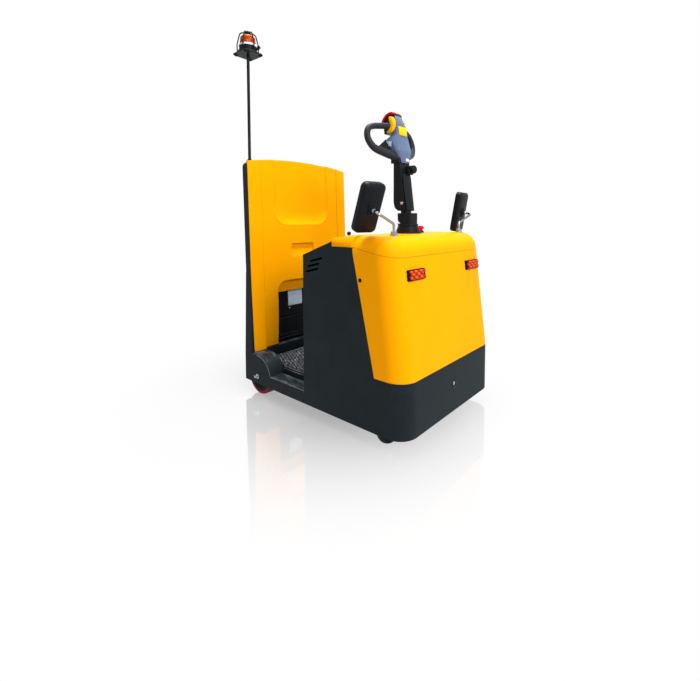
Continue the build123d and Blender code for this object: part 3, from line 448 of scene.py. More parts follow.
def shift(x, y, z):
    return Matrix.Translation((x, y, z))


def verts_of(geom):
    return [g for g in geom if isinstance(g, bmesh.types.BMVert)]


def edges_of(geom):
    return [g for g in geom if isinstance(g, bmesh.types.BMEdge)]


def new_faces(bm, old):
    return [f for f in bm.faces if not old.intersection(f.verts)]


def loop(bm, verts):
    """Edges round a ring of points."""
    return [bm.edges.new(pair) for pair in zip(verts, verts[1:] + verts[:1])]


def put(bm, old, place):
    """Move what was added to bm since old."""
    ops.transform(bm, matrix=place, verts=[v for v in bm.verts if v not in old])


def raised(bm, faces, way):
    """Extrude faces along a vector; gives the new points."""
    top = verts_of(ops.extrude_face_region(bm, geom=faces)["geom"])
    ops.translate(bm, vec=way, verts=top)
    return top


def soften(bm, edges, width, segments=3):
    ops.bevel(bm, geom=list(edges), offset=width, segments=segments, profile=0.5, affect="EDGES", material=-1)


print("mesh helpers ready")

# %% Simple solids
def block(bm, size, place, soft):
    """A cuboid with rounded edges, its middle at place."""
    old = set(bm.verts)
    verts = ops.create_cube(bm, size=1)["verts"]
    ops.scale(bm, vec=size, verts=verts)
    soften(bm, {e for v in verts for e in v.link_edges}, soft)
    put(bm, old, place)


def turned(bm, outline, place, steps, closed=False):
    """An outline of (radius, height) pairs spun round the z axis of place."""
    old = set(bm.verts)
    points = [bm.verts.new((r, 0, h)) for r, h in outline]
    lines = loop(bm, points) if closed else [bm.edges.new(pair) for pair in zip(points, points[1:])]
    ops.spin(bm, geom=points + lines, cent=(0, 0, 0), axis=UP, angle=2 * pi, steps=steps, use_merge=True)
    ops.remove_doubles(bm, verts=[v for v in bm.verts if v not in old], dist=0.01)
    put(bm, old, place)


def plate(bm, outline, thick, place, soft=0.0, segments=2):
    """An outline of (x, y) pairs thickened along z, with its front edge rounded."""
    old = set(bm.verts)
    face = bm.faces.new([bm.verts.new((x, y, 0)) for x, y in outline])
    top = raised(bm, [face], (0, 0, thick))
    if soft:
        rim = {e for v in top for e in v.link_edges if e.other_vert(v) in top}
        soften(bm, rim, soft, segments)
    put(bm, old, place)


def patch(bm, corners, thick):
    """A thin plate over points in order round its edge."""
    face = bm.faces.new([bm.verts.new(c) for c in corners])
    face.normal_update()
    raised(bm, [face], face.normal * thick)


def corner(x, y, radius, start, steps=10):
    """Points on a quarter turn round a centre, from start degrees."""
    turns = [radians(start + 90 * i / steps) for i in range(steps + 1)]
    return [(x + radius * cos(a), y + radius * sin(a)) for a in turns]


def oblong(width, height, radius, steps=5):
    """Outline of a rectangle with round corners."""
    x, y = width / 2 - radius, height / 2 - radius
    return [*corner(x, y, radius, 0, steps), *corner(-x, y, radius, 90, steps),
            *corner(-x, -y, radius, 180, steps), *corner(x, -y, radius, 270, steps)]


WASHER = ((0.2, 0), (0.98, 0), (1.02, 0.6), (0.95, 1), (0.2, 1))


def bolt(bm, place, across, washer=True):
    """Hexagon head with a chamfered top, on a washer."""
    r, t = across * 0.577, across * 0.55
    base = across * 0.12 if washer else 0
    if washer:
        turned(bm, [(across * r, base * h) for r, h in WASHER], place, 20, closed=True)
    old = set(bm.verts)
    ops.create_cone(bm, cap_ends=True, segments=6, radius1=r, radius2=r, depth=t,
                    matrix=shift(0, 0, base + t / 2))
    top = [f for f in new_faces(bm, old) if f.normal.z > 0.9]
    soften(bm, {e for f in top for e in f.edges}, across * 0.09, 2)
    put(bm, old, place)


print("solids ready")

# %% Tubes and finished pieces
def smooth_line(knots, steps):
    """Points on a smooth curve through the knots."""
    knots = [Vector(k) for k in knots]
    tangents = [(b - a) / 6 for a, b in zip(knots[:1] + knots[:-1], knots[1:] + knots[-1:])]
    line = [knots[0]]
    for (a, ta), (b, tb) in zip(zip(knots, tangents), zip(knots[1:], tangents[1:])):
        line += interpolate_bezier(a, a + ta, b - tb, b, steps + 1)[1:]
    return line


def tube(bm, line, radii, sides):
    """A ring pulled along the points of a line, with a radius for each point."""
    line = [Vector(p) for p in line]
    aims = [(b - a).normalized() for a, b in zip(line[:1] + line[:-1], line[1:] + line[-1:])]
    turn = aims[0].to_track_quat("Z", "Y")
    spots = []
    for i, (point, aim, radius) in enumerate(zip(line, aims, radii)):
        if i:
            turn = aims[i - 1].rotation_difference(aim) @ turn
        spots.append(Matrix.Translation(point) @ turn.to_matrix().to_4x4() @ Matrix.Scale(radius, 4))
    made = ops.create_circle(bm, cap_ends=True, segments=sides, radius=1, matrix=spots[0])
    ring = list({e for v in made["verts"] for e in v.link_edges})
    for last, spot in zip(spots, spots[1:]):
        grown = ops.extrude_edge_only(bm, edges=ring)["geom"]
        ring = edges_of(grown)
        ops.transform(bm, matrix=spot @ last.inverted(), verts=verts_of(grown))
    ops.edgeloop_fill(bm, edges=ring)


def rod(bm, line, radius, sides):
    """A tube of one radius."""
    tube(bm, line, [radius] * len(line), sides)


def rods(bm, corners, radius, sides):
    """A straight rod on each side of a polygon."""
    for side in zip(corners, corners[1:] + corners[:1]):
        rod(bm, side, radius, sides)


def piece(name, bm, finish, body="chassis", replaces=(), angle=35):
    """Close the mesh, turn it into metres, and hang it on its body."""
    ops.remove_doubles(bm, verts=bm.verts, dist=0.002)
    ops.recalc_face_normals(bm, faces=bm.faces)
    ops.scale(bm, vec=(0.001, 0.001, 0.001), verts=bm.verts)
    thing = into_scene(name, bm, MADE[finish])
    thing.data.shade_smooth()
    thing.data.set_sharp_from_angle(angle=radians(angle))
    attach(thing, body)
    if replaces:
        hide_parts(*replaces)
    finish in SLOTS
    print(name, len(thing.data.polygons), "faces")


def alone(name, finish, shape, *details, **more):
    """A piece of one shape, with the details that the shape asks for."""
    bm = bmesh.new()
    shape(bm, *details)
    piece(name, bm, finish, **more)


print("tubes and pieces ready")

# %% [markdown]
# ## Lamps
# Each lamp is a small plastic lens with a grid of prisms that throw light back. A grid with its faces
# poked into low pyramids is just that. The cell at the left end makes room for the fixing clip. The
# lens lies on the hood, which leans back by 7 degrees.

# %% Faceted lamp lenses
LEAN = radians(7)
NOSE_NORMAL = Vector((cos(LEAN), 0, sin(LEAN)))
LAMP_FACE, LAMP_Y = Vector((538.06, 0, 718)) + 12 * NOSE_NORMAL, 253
LENS_WIDE, LENS_TALL, LENS_DEEP, PRISM = 112, 37, 6, 4.4
CLIP_CELL = Vector((50, 0, 0))
bm = bmesh.new()
for sign in SIGNS:
    old = set(bm.verts)
    made = ops.create_grid(bm, x_segments=6, y_segments=3, size=0.5)["verts"]
    ops.scale(bm, vec=(LENS_WIDE, LENS_TALL, 1), verts=made)
    cells = list({f for v in made for f in v.link_faces})
    clip = min(cells, key=lambda f: (f.calc_center_median() - CLIP_CELL).length)
    ops.delete(bm, geom=[clip], context="FACES")
    cells = [f for f in cells if f.is_valid]
    rim = [e for e in {e for f in cells for e in f.edges} if e.is_boundary]
    ops.poke(bm, faces=cells, offset=PRISM)
    skirt = ops.extrude_edge_only(bm, edges=rim)["geom"]
    ops.translate(bm, vec=(0, 0, -LENS_DEEP), verts=verts_of(skirt))
    ops.edgeloop_fill(bm, edges=[e for e in edges_of(skirt) if e.is_boundary])
    spot = LAMP_FACE + Vector((0, sign * LAMP_Y, 0)) + LENS_DEEP * NOSE_NORMAL
    put(bm, old, facing(spot, NOSE_NORMAL))
piece("faceted_lenses", bm, "lamp_red", replaces=("lamp_lenses",), angle=5)

# %% [markdown]
# ## Small pieces on the nose
# A plastic plug closes a hole high on each side of the hood, a steel pin sits in the tow socket of the
# bumper, and a black knob stands at the right rear corner of the cap. All of them are turned shapes.

# %% Plugs, tow pin and cap knob
BODY_SIDE, BUMPER_X, SOCKET_Z, PIN_ROOT = 400, 590, 191, 539
PLUG_X, PLUG_Z = 361, 693
KNOB = (207, -300, 868)
bm = bmesh.new()
for sign in SIGNS:
    turned(bm, ((0, 3), (5, 2.6), (8, 1.2), (9.5, 0), (9.5, -2), (0, -2)),
           facing((PLUG_X, sign * BODY_SIDE, PLUG_Z), (0, sign, 0)), 28)
turned(bm, ((13.2, -1), (22, -1), (22, 0.4), (20.5, 1.2), (14, 1.2), (13.2, 0.4)),
       facing((BUMPER_X, 0, SOCKET_Z), AHEAD), 36, closed=True)
turned(bm, ((0, 24), (5, 23), (8.6, 19.5), (9.5, 15), (8.4, 10), (5, 6.5), (5, 2), (9, 1), (9, -6), (0, -6)),
       facing(KNOB), 28)
piece("nose_plugs", bm, "dark_plastic")
alone("socket_pin", "bright_steel", turned, ((0, 52), (6, 51.2), (10, 48.8), (12, 44), (12, 0), (0, 0)),
      facing((PIN_ROOT, 0, SOCKET_Z), AHEAD), 28)

# %% [markdown]
# ## Mirrors
# The heads are blow-moulded black shells: a slab with round corners, a full round on the back and a thin
# lip that holds the glass. The two heads are set at different angles, so one table holds both. A small
# bracket with two screws and a plated ball joins each head to its stalk, which a nut holds on the cap.

# %% Mirror heads
MIRRORS = (  # side, station, height, turn, tilt
    (-1, 402, 994, 12, 22),
    (1, 403, 987, 4, 10),
)
MIRROR_Y, HEAD_WIDE, HEAD_TALL, HEAD_HALF = 389, 112, 216, 14
LIP_WIDE, LIP_TALL = 5.2, 2.6
STALK_X, STALK_Y, STALK_Z = 452, 286, 884


def level(face):
    return face.calc_center_median().z


bm = bmesh.new()
joint = bmesh.new()
for sign, station, height, turn, tilt in MIRRORS:
    turn, tilt = radians(turn), radians(tilt)
    glass = Vector((-cos(turn) * cos(tilt), -sign * sin(turn) * cos(tilt), sin(tilt)))
    head = facing((station, sign * MIRROR_Y, height), glass)
    old = set(bm.verts)
    plate(bm, oblong(HEAD_WIDE, HEAD_TALL, 24, 7), -2 * HEAD_HALF, shift(0, 0, HEAD_HALF))
    back = min(new_faces(bm, old), key=level)
    soften(bm, back.edges, 11, 5)
    back = min(new_faces(bm, old), key=level)
    lip = max(new_faces(bm, old), key=level)
    ops.inset_region(bm, faces=[back], thickness=3, depth=-1.2)
    ops.inset_region(bm, faces=[lip], thickness=LIP_WIDE)
    ring = [f for f in new_faces(bm, old) if level(f) > HEAD_HALF - 0.1 and f is not lip]
    raised(bm, ring, (0, 0, LIP_TALL))
    ops.delete(bm, geom=ring, context="FACES")
    put(bm, old, head)
    behind = head @ Matrix.Rotation(pi, 4, "Y")
    block(bm, (34, 52, 9), behind @ shift(0, 0, 16), 3)
    turned(bm, ((0, 30), (9, 30), (13, 26), (15, 18), (0, 18)), behind, 28)
    for rise in (-18, 18):
        turned(bm, ((0, 4), (3.5, 3.4), (5, 1.5), (5, 0), (0, 0)), behind @ shift(0, rise, 20), 16)
    turned(joint, ((0, 40), (5, 39), (8.6, 35), (9.6, 31), (8.6, 27), (6, 25), (0, 25)), behind, 24)
    bolt(joint, facing((STALK_X, sign * STALK_Y, STALK_Z)), 24, washer=False)
piece("mirror_shells", bm, "dark_plastic", replaces=("mirror_heads",))
piece("mirror_joints", joint, "chrome")

# %% [markdown]
# ## The tiller's head
# The grey cover is a faceted moulding with wings at its middle. It is built as the CAD solid is, from
# level outlines, and the loops are bridged. Bevelled edges give the moulding its soft corners. A yellow
# blank plate sits on its front, a pale blank label on each wing and a small display at its foot.

# %% Head cover
PIVOT = Vector((314, 0, 1025.3))
ARM_TOP = 1222.3
HEAD = (  # height over the arm, middle x from the pivot, depth, half width, corner cut
    (0, -22, 40, 30, 8),
    (58, -34, 62, 62, 14),
    (108, -60, 90, 68, 24),
    (140, -43, 46, 42, 7),
    (198, -50, 38, 35, 7),
    (235, -62, 30, 27, 6),
)
bm = bmesh.new()
loops = []
for rise, middle, depth, reach, cut in HEAD:
    front, back = PIVOT.x + middle + depth / 2, PIVOT.x + middle - depth / 2
    quarter = ((front, reach - cut), (front - cut, reach), (back + cut, reach), (back, reach - cut))
    verts = [bm.verts.new((x, y, ARM_TOP + rise)) for x, y in quarter]
    verts += [bm.verts.new((x, -y, ARM_TOP + rise)) for x, y in reversed(quarter)]
    loops.append(loop(bm, verts))
for low, high in zip(loops, loops[1:]):
    ops.bridge_loops(bm, edges=low + high)
for ends in (loops[0], loops[-1]):
    ops.edgeloop_fill(bm, edges=ends)
ops.recalc_face_normals(bm, faces=bm.faces)
crease = [e for e in bm.edges if e.calc_face_angle(0) > radians(9)]
soften(bm, crease, 2.6, 2)
piece("head_cover", bm, "tiller_grey", "tiller", replaces=("tiller_head",), angle=25)

# %% Plate, labels and display on the head
WING_LABEL = ((-62, 65.7, 82), (-43, 65.2, 78), (-41, 68.3, 104), (-76, 68.3, 104))
UPPER_FRONT, LOWER_FRONT = (58, 0, 11), (58, 0, 1)


def on_tiller(x, y, rise):
    """Point given from the pivot's station, the middle plane and the top of the arm."""
    return Vector((PIVOT.x + x, y, ARM_TOP + rise))


alone("head_plate", "paddle_yellow", plate, oblong(66, 44, 4), 2.4,
      facing(on_tiller(-23.4, 0, 157), UPPER_FRONT), 1, body="tiller")
bm = bmesh.new()
for sign in SIGNS:
    patch(bm, [on_tiller(x, sign * y, z) for x, y, z in WING_LABEL[::sign]], 1.6)
plate(bm, oblong(26, 14, 3), 2.2, facing(on_tiller(-0.6, 8, 15), LOWER_FRONT), 0.6)
piece("head_labels", bm, "label_white", "tiller")

# %% [markdown]
# ## Loop grips and paddles
# The rubber grips run from the yoke round to the head in one smooth bend, thick at the yoke and thinner
# at the hands. A ring drawn along a smooth curve makes them. The yellow thumb paddles are hooked plates
# on both sides, and a web ties each grip to its wing.

# %% Grips
GRIP = (  # x from the pivot, y, height over the arm, radius
    (-24, 20, 24, 22),
    (-58, 92, 46, 20.5),
    (-77, 158, 66, 17),
    (-93, 186, 114, 15.5),
    (-99, 160, 164, 15),
    (-76, 70, 180, 15),
    (-56, 14, 186, 15),
)
GRIP_STEPS = 9
WEB, WEB_THICK = ((-84, 62, 112), (-92, 108, 74), (-56, 62, 62)), 9
radii = [v.x for v in smooth_line([(r, 0, 0) for x, y, z, r in GRIP], GRIP_STEPS)]
bm = bmesh.new()
webs = bmesh.new()
for sign in SIGNS:
    tube(bm, smooth_line([on_tiller(x, sign * y, z) for x, y, z, r in GRIP], GRIP_STEPS), radii, 20)
    patch(webs, [on_tiller(x, sign * y, z) for x, y, z in WEB[::-sign]], WEB_THICK)
piece("loop_grips", bm, "grip_rubber", "tiller", replaces=("tiller_grips",), angle=50)
piece("grip_webs", webs, "dark_plastic", "tiller")

# %% Thumb paddles
PADDLE = ((2, 42), (11, 39), (17, 31), (22, 20), (25, 6), (24, -8), (18, -22), (8, -32), (-6, -38),
          (-18, -36), (-21, -30), (-14, -25), (-6, -16), (-2, -2), (-3, 14), (-8, 26), (-10, 36), (-5, 41))
bm = bmesh.new()
for sign in SIGNS:
    spot = facing(on_tiller(-63, sign * 36, 185), (0, sign, 0))
    plate(bm, [(-sign * x, z) for x, z in PADDLE], 19, spot, 6, 4)
piece("paddles", bm, "paddle_yellow", "tiller", replaces=("thumb_paddles",), angle=40)

# %% [markdown]
# ## Tiller arm, boot and button
# A moulded cover closes the front of the arm over the pivot. It is hollow behind, so that the pivot's
# tongue swings free in it. Bright caps close the pivot bolt, a rubber collar finishes the boot, and the
# red button is a turned mushroom on a dark ring.

# %% Arm cover and pivot caps
ARM_HALF, ARM_CHAMFER, ARM_WALL, ARM_HOLLOW = 33, 12, 7, 5
arm_foot, arm_head = PIVOT + Vector((20, 0, -36)), PIVOT + Vector((-3, 0, 142))
arm_middle, upward = (arm_foot + arm_head) / 2, arm_head - arm_foot
outward = Vector((upward.z, 0, -upward.x))
run = upward.length / 2
shield = ((-ARM_HALF, -run), (ARM_HALF, -run), (ARM_HALF, run - ARM_CHAMFER), (22, run), (-22, run),
          (-ARM_HALF, run - ARM_CHAMFER))
bm = bmesh.new()
plate(bm, shield, 8, facing(arm_middle, outward, upward), 3, 3)
inside = min(bm.faces, key=lambda f: (f.calc_center_median() - arm_middle).length)
ops.inset_region(bm, faces=[inside], thickness=ARM_WALL)
foot = [v for v in bm.verts if v not in inside.verts and (v.co - arm_foot).dot(upward) < 1
        and (v.co - arm_foot).dot(outward) < 1]
ops.translate(bm, vec=outward.normalized() * ARM_HOLLOW, verts=[*inside.verts, *foot])
block(bm, (26, 40, 26), Matrix.Translation(on_tiller(2, 24, -42)), 4)
piece("arm_cover", bm, "dark_plastic", "tiller")
bm = bmesh.new()
for sign in SIGNS:
    turned(bm, ((0, 3.4), (4, 3), (7, 1.6), (8, 0), (0, 0)),
           facing((PIVOT.x, sign * 40, PIVOT.z), (0, sign, 0)), 24)
piece("pivot_caps", bm, "bright_steel", "tiller")

# %% Boot collars and emergency button
CAP_TOP, BOOT_TOP, STEER_X = 878, 921, 326
button_spot = facing((314, 128, CAP_TOP))
bm = bmesh.new()
turned(bm, ((44, -7), (49.5, -6), (51, -2), (50, 2), (46, 3.5), (40, 3.5), (40, -7)),
       facing((STEER_X, 0, BOOT_TOP)), 48, closed=True)
turned(bm, ((56, 0.4), (67.5, 0.4), (68, 4), (66, 7), (62, 8), (56, 8)),
       facing((STEER_X, 0, CAP_TOP)), 56, closed=True)
piece("boot_collars", bm, "dark_plastic", "steering")
alone("red_button", "signal_red", turned,
      ((0, 36), (9, 35.2), (16, 32), (19.6, 27), (20, 23), (18, 20), (13.5, 18.5), (13, 10), (0, 10)),
      button_spot, 40, replaces=("emergency_button",))
alone("button_base", "dark_plastic", turned,
      ((0, 11), (15, 11), (18, 8), (21, 1.5), (21, -1), (0, -1)), button_spot, 36)

# %% [markdown]
# ## Beacon
# The amber lens is ribbed, so its outline is spun with small steps in it. A pale band separates it from
# its black base, which has three thin rings. Four bolts hold the plate, and a wing screw locks the guard.

# %% Beacon lens and fittings
POLE = Vector((-506, -341, 0))
LENS_Z, PLATE_TOP, PLATE_FOOT, PLATE_BOLT = 1896, 1850, 1844, 46
RIBS, RIB_PITCH, RIB_TALL = 7, 5.6, 1.6


def on_pole(z, dx=0, dy=0):
    return POLE + Vector((dx, dy, z))


lens_line = [(0, 0), (41, 0)]
for step in range(RIBS):
    low, r = 2 + step * RIB_PITCH, 41 - step * 0.5
    lens_line += [(r, low), (r + RIB_TALL, low + 1.6), (r + RIB_TALL, low + 3.4), (r, low + 5)]
lens_line += [(36, 44), (31, 49), (22, 51.5), (0, 52)]
alone("ribbed_lens", "beacon_amber", turned, lens_line, facing(on_pole(LENS_Z)), 48,
      replaces=("beacon_lens",), angle=25)
alone("lens_band", "label_white", turned,
      ((44, -9), (47.5, -9), (48.2, -6), (48.2, -1), (46, 1.5), (42, 1.5), (42, -9)),
      facing(on_pole(LENS_Z)), 48, True)
bm = bmesh.new()
for dx in (-PLATE_BOLT, PLATE_BOLT):
    for dy in (-PLATE_BOLT, PLATE_BOLT):
        bolt(bm, facing(on_pole(PLATE_TOP, dx, dy)), 10)
        bolt(bm, facing(on_pole(PLATE_FOOT, dx, dy), (0, 0, -1)), 10)
piece("beacon_bolts", bm, "hub_iron")
bm = bmesh.new()
wing, wing_aim = on_pole(1878, 37, 29), (0.76, 0.65, 0.3)
turned(bm, ((0, 18), (6, 17), (8, 13), (8, 5), (10, 2), (10, -8), (0, -8)), facing(wing, wing_aim), 20)
block(bm, (30, 5, 14), facing(wing + Vector((11, 9, 8)), wing_aim), 2)
for rise in (10, 22, 34):
    turned(bm, ((45, rise - 1.5), (47.2, rise - 1), (47.2, rise + 1), (45, rise + 1.5)),
           facing(on_pole(PLATE_TOP)), 48, closed=True)
piece("beacon_fittings", bm, "dark_plastic")

# %% [markdown]
# ## Mat, sills and mudguards
# The rubber mat is covered with low pebbles in staggered rows. Each is a short cone with eight sides, so that
# hundreds of them stay cheap, and their pale patches are painted glints as well as dust. The sill, the mat
# and the mudguard each have a rolled edge that is painted pale as a painted highlight.

# %% Mat pebbles
PITCH, ROWS, LOOSE = 19, 22, 3
MAT_REAR, MAT_STEP, NARROW, WIDE = -424, -252, 288, 303
PEBBLE_TALL, PEBBLE_Z = 3.4, 161.5
random.seed(7)
bm = bmesh.new()
for line in range(ROWS):
    x = MAT_REAR + line * PITCH
    reach = NARROW if x < MAT_STEP else WIDE
    stagger = PITCH / 2 if line % 2 else 0
    for col in range(int(2 * reach / PITCH)):
        y = -reach + PITCH / 2 + stagger + col * PITCH + random.uniform(-LOOSE, LOOSE)
        if abs(y) < reach:
            turn = Matrix.Rotation(random.uniform(0, pi), 4, "Z") @ Matrix.Diagonal((1.25, 0.8, 1, 1))
            wide = random.uniform(6, 7.6)
            spot = shift(x + random.uniform(-LOOSE, LOOSE), y, PEBBLE_Z)
            ops.create_cone(bm, cap_ends=True, segments=8, radius1=wide, radius2=wide * 0.6,
                            depth=PEBBLE_TALL, matrix=spot @ turn)
piece("mat_pebbles", bm, "pebble_rubber", angle=80)

# %% Rolled edges
AXLE_X, AXLE_Z, GUARD_R = -376, 100, 113
guard = [(AXLE_X + GUARD_R * cos(a), 399, AXLE_Z + GUARD_R * sin(a)) for a in map(radians, range(14, 91, 4))]
ROLLED = (  # points on the left side, radius, sides
    (((-263, 398.8, 123), (2, 398.8, 123)), 1.7, 10),
    (guard, 1.6, 8),
    (((-432, 296, 159), (-259, 296, 159), (-257, 310, 159), (-6, 310, 159)), 2.4, 8),
    (((-254, 314, 149), (-2, 314, 149)), 2.2, 8),
)
# The pale colour of these edges is a painted highlight along them.
bm = bmesh.new()
for sign in SIGNS:
    for line, radius, sides in ROLLED:
        rod(bm, [(x, sign * y, z) for x, y, z in line], radius, sides)
piece("rolled_edges", bm, "worn_edge", angle=60)

# %% [markdown]
# ## Wheels
# The rear wheels have a cast hub with a dished face and bolts, and a red polyurethane tread with rounded
# shoulders. The castors are smaller and black. A closed outline spun round the axle makes each one. The
# axle's nut is secured by a bent pin.

# %% Rear wheels and axle nuts
TREAD = ((82, -33), (93, -33), (97.5, -31), (99.6, -26), (100, -12), (100, 12), (99.6, 26), (97.5, 31),
         (93, 33), (82, 33))
HUB = ((12.6, -33), (28, -33), (30, -31), (34, -22), (58, -22), (72, -30), (75, -32.5), (82, -32.5),
       (82, 32.5), (75, 32.5), (72, 30), (58, 22), (34, 22), (30, 31), (28, 33), (12.6, 33))
CAST_BOLTS, WHEEL_Y = 5, 351.5
SPLIT_PIN = ((-12, 5, 14), (0, 1, 14.5), (10, 8, 14), (14, 17, 12))
for side, sign in SIDES.items():
    axle = facing((AXLE_X, sign * WHEEL_Y, AXLE_Z), (0, 1, 0))
    alone(f"tread_{side}", "red_tread", turned, TREAD, axle, 72, True,
          body=f"rear_wheel_{side}", replaces=(f"rear_tyre_{side}",))
    bm = bmesh.new()
    turned(bm, HUB, axle, 48, closed=True)
    for face in (0, pi):
        for turn in range(CAST_BOLTS):
            spot = Matrix.Rotation(face, 4, "X") @ Matrix.Rotation(2 * pi * turn / CAST_BOLTS, 4, "Z")
            bolt(bm, axle @ spot @ shift(46, 0, 22), 13)
    piece(f"cast_hub_{side}", bm, "hub_iron", f"rear_wheel_{side}", (f"rear_hub_{side}",))
bm = bmesh.new()
for sign in SIGNS:
    end = facing((AXLE_X, sign * BODY_SIDE, AXLE_Z), (0, sign, 0))
    turned(bm, ((0, 2.4), (12.6, 2.4), (13.4, 1.6), (13.4, -3), (12.5, -3), (12.5, -95), (0, -95)), end, 32)
    bolt(bm, end @ shift(0, 0, 2), 15, washer=False)
    turned(bm, ((0, 17), (5, 16.4), (6.5, 14.5), (6.5, 8), (0, 8)), end, 20)
    rod(bm, [end @ Vector(p) for p in SPLIT_PIN], 1.7, 8)
piece("axle_nuts", bm, "bright_steel", replaces=("rear_axles",))

# %% Castors
CASTOR = ((6.1, -18), (28, -18), (31, -15), (35, -15), (38, -17.5), (44, -17), (48, -13), (50, -6), (50, 6),
          (48, 13), (44, 17), (38, 17.5), (35, 15), (31, 15), (28, 18), (6.1, 18))
CASTOR_X, CASTOR_Y, CASTOR_Z, TRAIL, YAW = 469, 300, 50, 30, radians(60)
for side, sign in SIDES.items():
    middle = (CASTOR_X - TRAIL * cos(YAW), sign * CASTOR_Y - TRAIL * sin(YAW), CASTOR_Z)
    axle = facing(middle, (-sin(YAW), cos(YAW), 0))
    alone(f"castor_tread_{side}", "black_tread", turned, CASTOR, axle, 56, True,
          body=f"castor_roll_{side}", replaces=(f"castor_wheel_{side}",))
    bm = bmesh.new()
    for face in (0, pi):
        bolt(bm, axle @ Matrix.Rotation(face, 4, "X") @ shift(0, 0, 26), 13)
    piece(f"castor_nuts_{side}", bm, "bright_steel", f"castor_swivel_{side}")

# %% [markdown]
# ## Backrest cover
# The backrest is a deep yellow moulding, of the kind that is formed hot over a tool. The CAD solid gives
# its planes. Here the lumbar recess gets the hollow curve of such a sheet: rings that drop fast at the
# rim and flatten out towards the floor. A shallow groove runs along the fold on each side, and beside
# the foot arch the sheet bends back a little.

# %% Cover outlines
TOWER_BEND, SLOPE = 250, 34 / 1012  # the tower leans back above this height, by this much
CROWN_Z, CROWN_R = 1297, (400 ** 2 + 34 ** 2) / (2 * 34)
COVER_X, COVER_DEPTH, LIP_DEPTH, GROOVE = -432, 26, 6.4, 3.5
RIM, SEAM, FOLD, SIDE_Y, LIP = 282, 297, 298, 372.4, 379
LOW, FOOT_LOW, KNEE = 214.6, 220, 519
FOOT_Y, FOOT_BACK, ARCH_DEPTH = 205, 14, 24


def leaning(x, y, z):
    """Point on a plane that leans with the tower and passes x at its bend."""
    return Vector((x - (z - TOWER_BEND) * SLOPE, y, z))


def crown(y):
    """Height of the cover's round top edge."""
    return CROWN_Z - CROWN_R + (CROWN_R ** 2 - y ** 2) ** 0.5


def hollow(reach, low, radius):
    """Outline of the recess, a U whose ends are on the crown."""
    right = corner(radius - reach, low + radius, radius, 180)
    left = corner(reach - radius, low + radius, radius, 270)
    return [(-reach, crown(reach)), *right, *left, (reach, crown(reach))]


def at(points, depth):
    """The same points, each with a depth behind the cover's front."""
    return [(y, z, depth) for y, z in points]


def row(bm, points):
    return [bm.verts.new(leaning(COVER_X - depth, y, z)) for y, z, depth in points]


def band(bm, *lines):
    """Faces between each line of points and the next."""
    rows = [row(bm, line) for line in lines]
    for a, b in zip(rows, rows[1:]):
        for i in range(len(a) - 1):
            bm.faces.new((a[i], a[i + 1], b[i + 1], b[i]))


ARCH = [(-FOOT_Y, KNEE), *corner(-145, 525, 60, 90)[::-1], *corner(145, 525, 60, 0)[::-1], (FOOT_Y, KNEE)]
print("arch of", len(ARCH), "points")

# %% Cover front with its recess, pocket and arch
RECESS, SHRINK = (212, 914, 95), (-44, 96, -25)  # half width, low edge, corner radius, and their change
RECESS_DEPTH, RECESS_FLOOR = 20, (110, 55, 0, -55, -110)
STEPS = (0, 0.08, 0.18, 0.3, 0.46, 0.68, 1)
POCKET_DEPTH = 17
drops = [RECESS_DEPTH * (1 - (1 - t) ** 3.4) for t in STEPS]
rings = [hollow(*(size + t * change for size, change in zip(RECESS, SHRINK))) for t in STEPS]
pocket = [[(y - 8, z + middle) for y, z in oblong(wide, tall, 10, 4)]
          for wide, tall, middle in ((176, 78, 762), (164, 22, 786))]
front = [(-RIM, KNEE), *ARCH, (RIM, KNEE), (RIM, crown(RIM)), *rings[0][::-1], (-RIM, crown(RIM))]
bm = bmesh.new()
edges = loop(bm, row(bm, at(front, 0))) + loop(bm, row(bm, at(pocket[0], 0)))
ops.triangle_fill(bm, use_beauty=True, use_dissolve=False, edges=edges)
band(bm, at(pocket[0] + pocket[0][:1], 0), at(pocket[1] + pocket[1][:1], POCKET_DEPTH))
bm.faces.new(row(bm, at(pocket[1], POCKET_DEPTH)))
band(bm, *(at(ring, drop) for ring, drop in zip(rings, drops)))
bm.faces.new(row(bm, at(rings[-1] + [(y, crown(y)) for y in RECESS_FLOOR], RECESS_DEPTH)))
band(bm, at(ARCH, 0), at(ARCH, ARCH_DEPTH))
bm.faces.new(row(bm, at(ARCH, ARCH_DEPTH)))
lintel = [(-FOOT_Y, KNEE), (FOOT_Y, KNEE)]
band(bm, at(lintel, ARCH_DEPTH), at(lintel, COVER_DEPTH))
print("cover front", len(bm.faces), "faces")

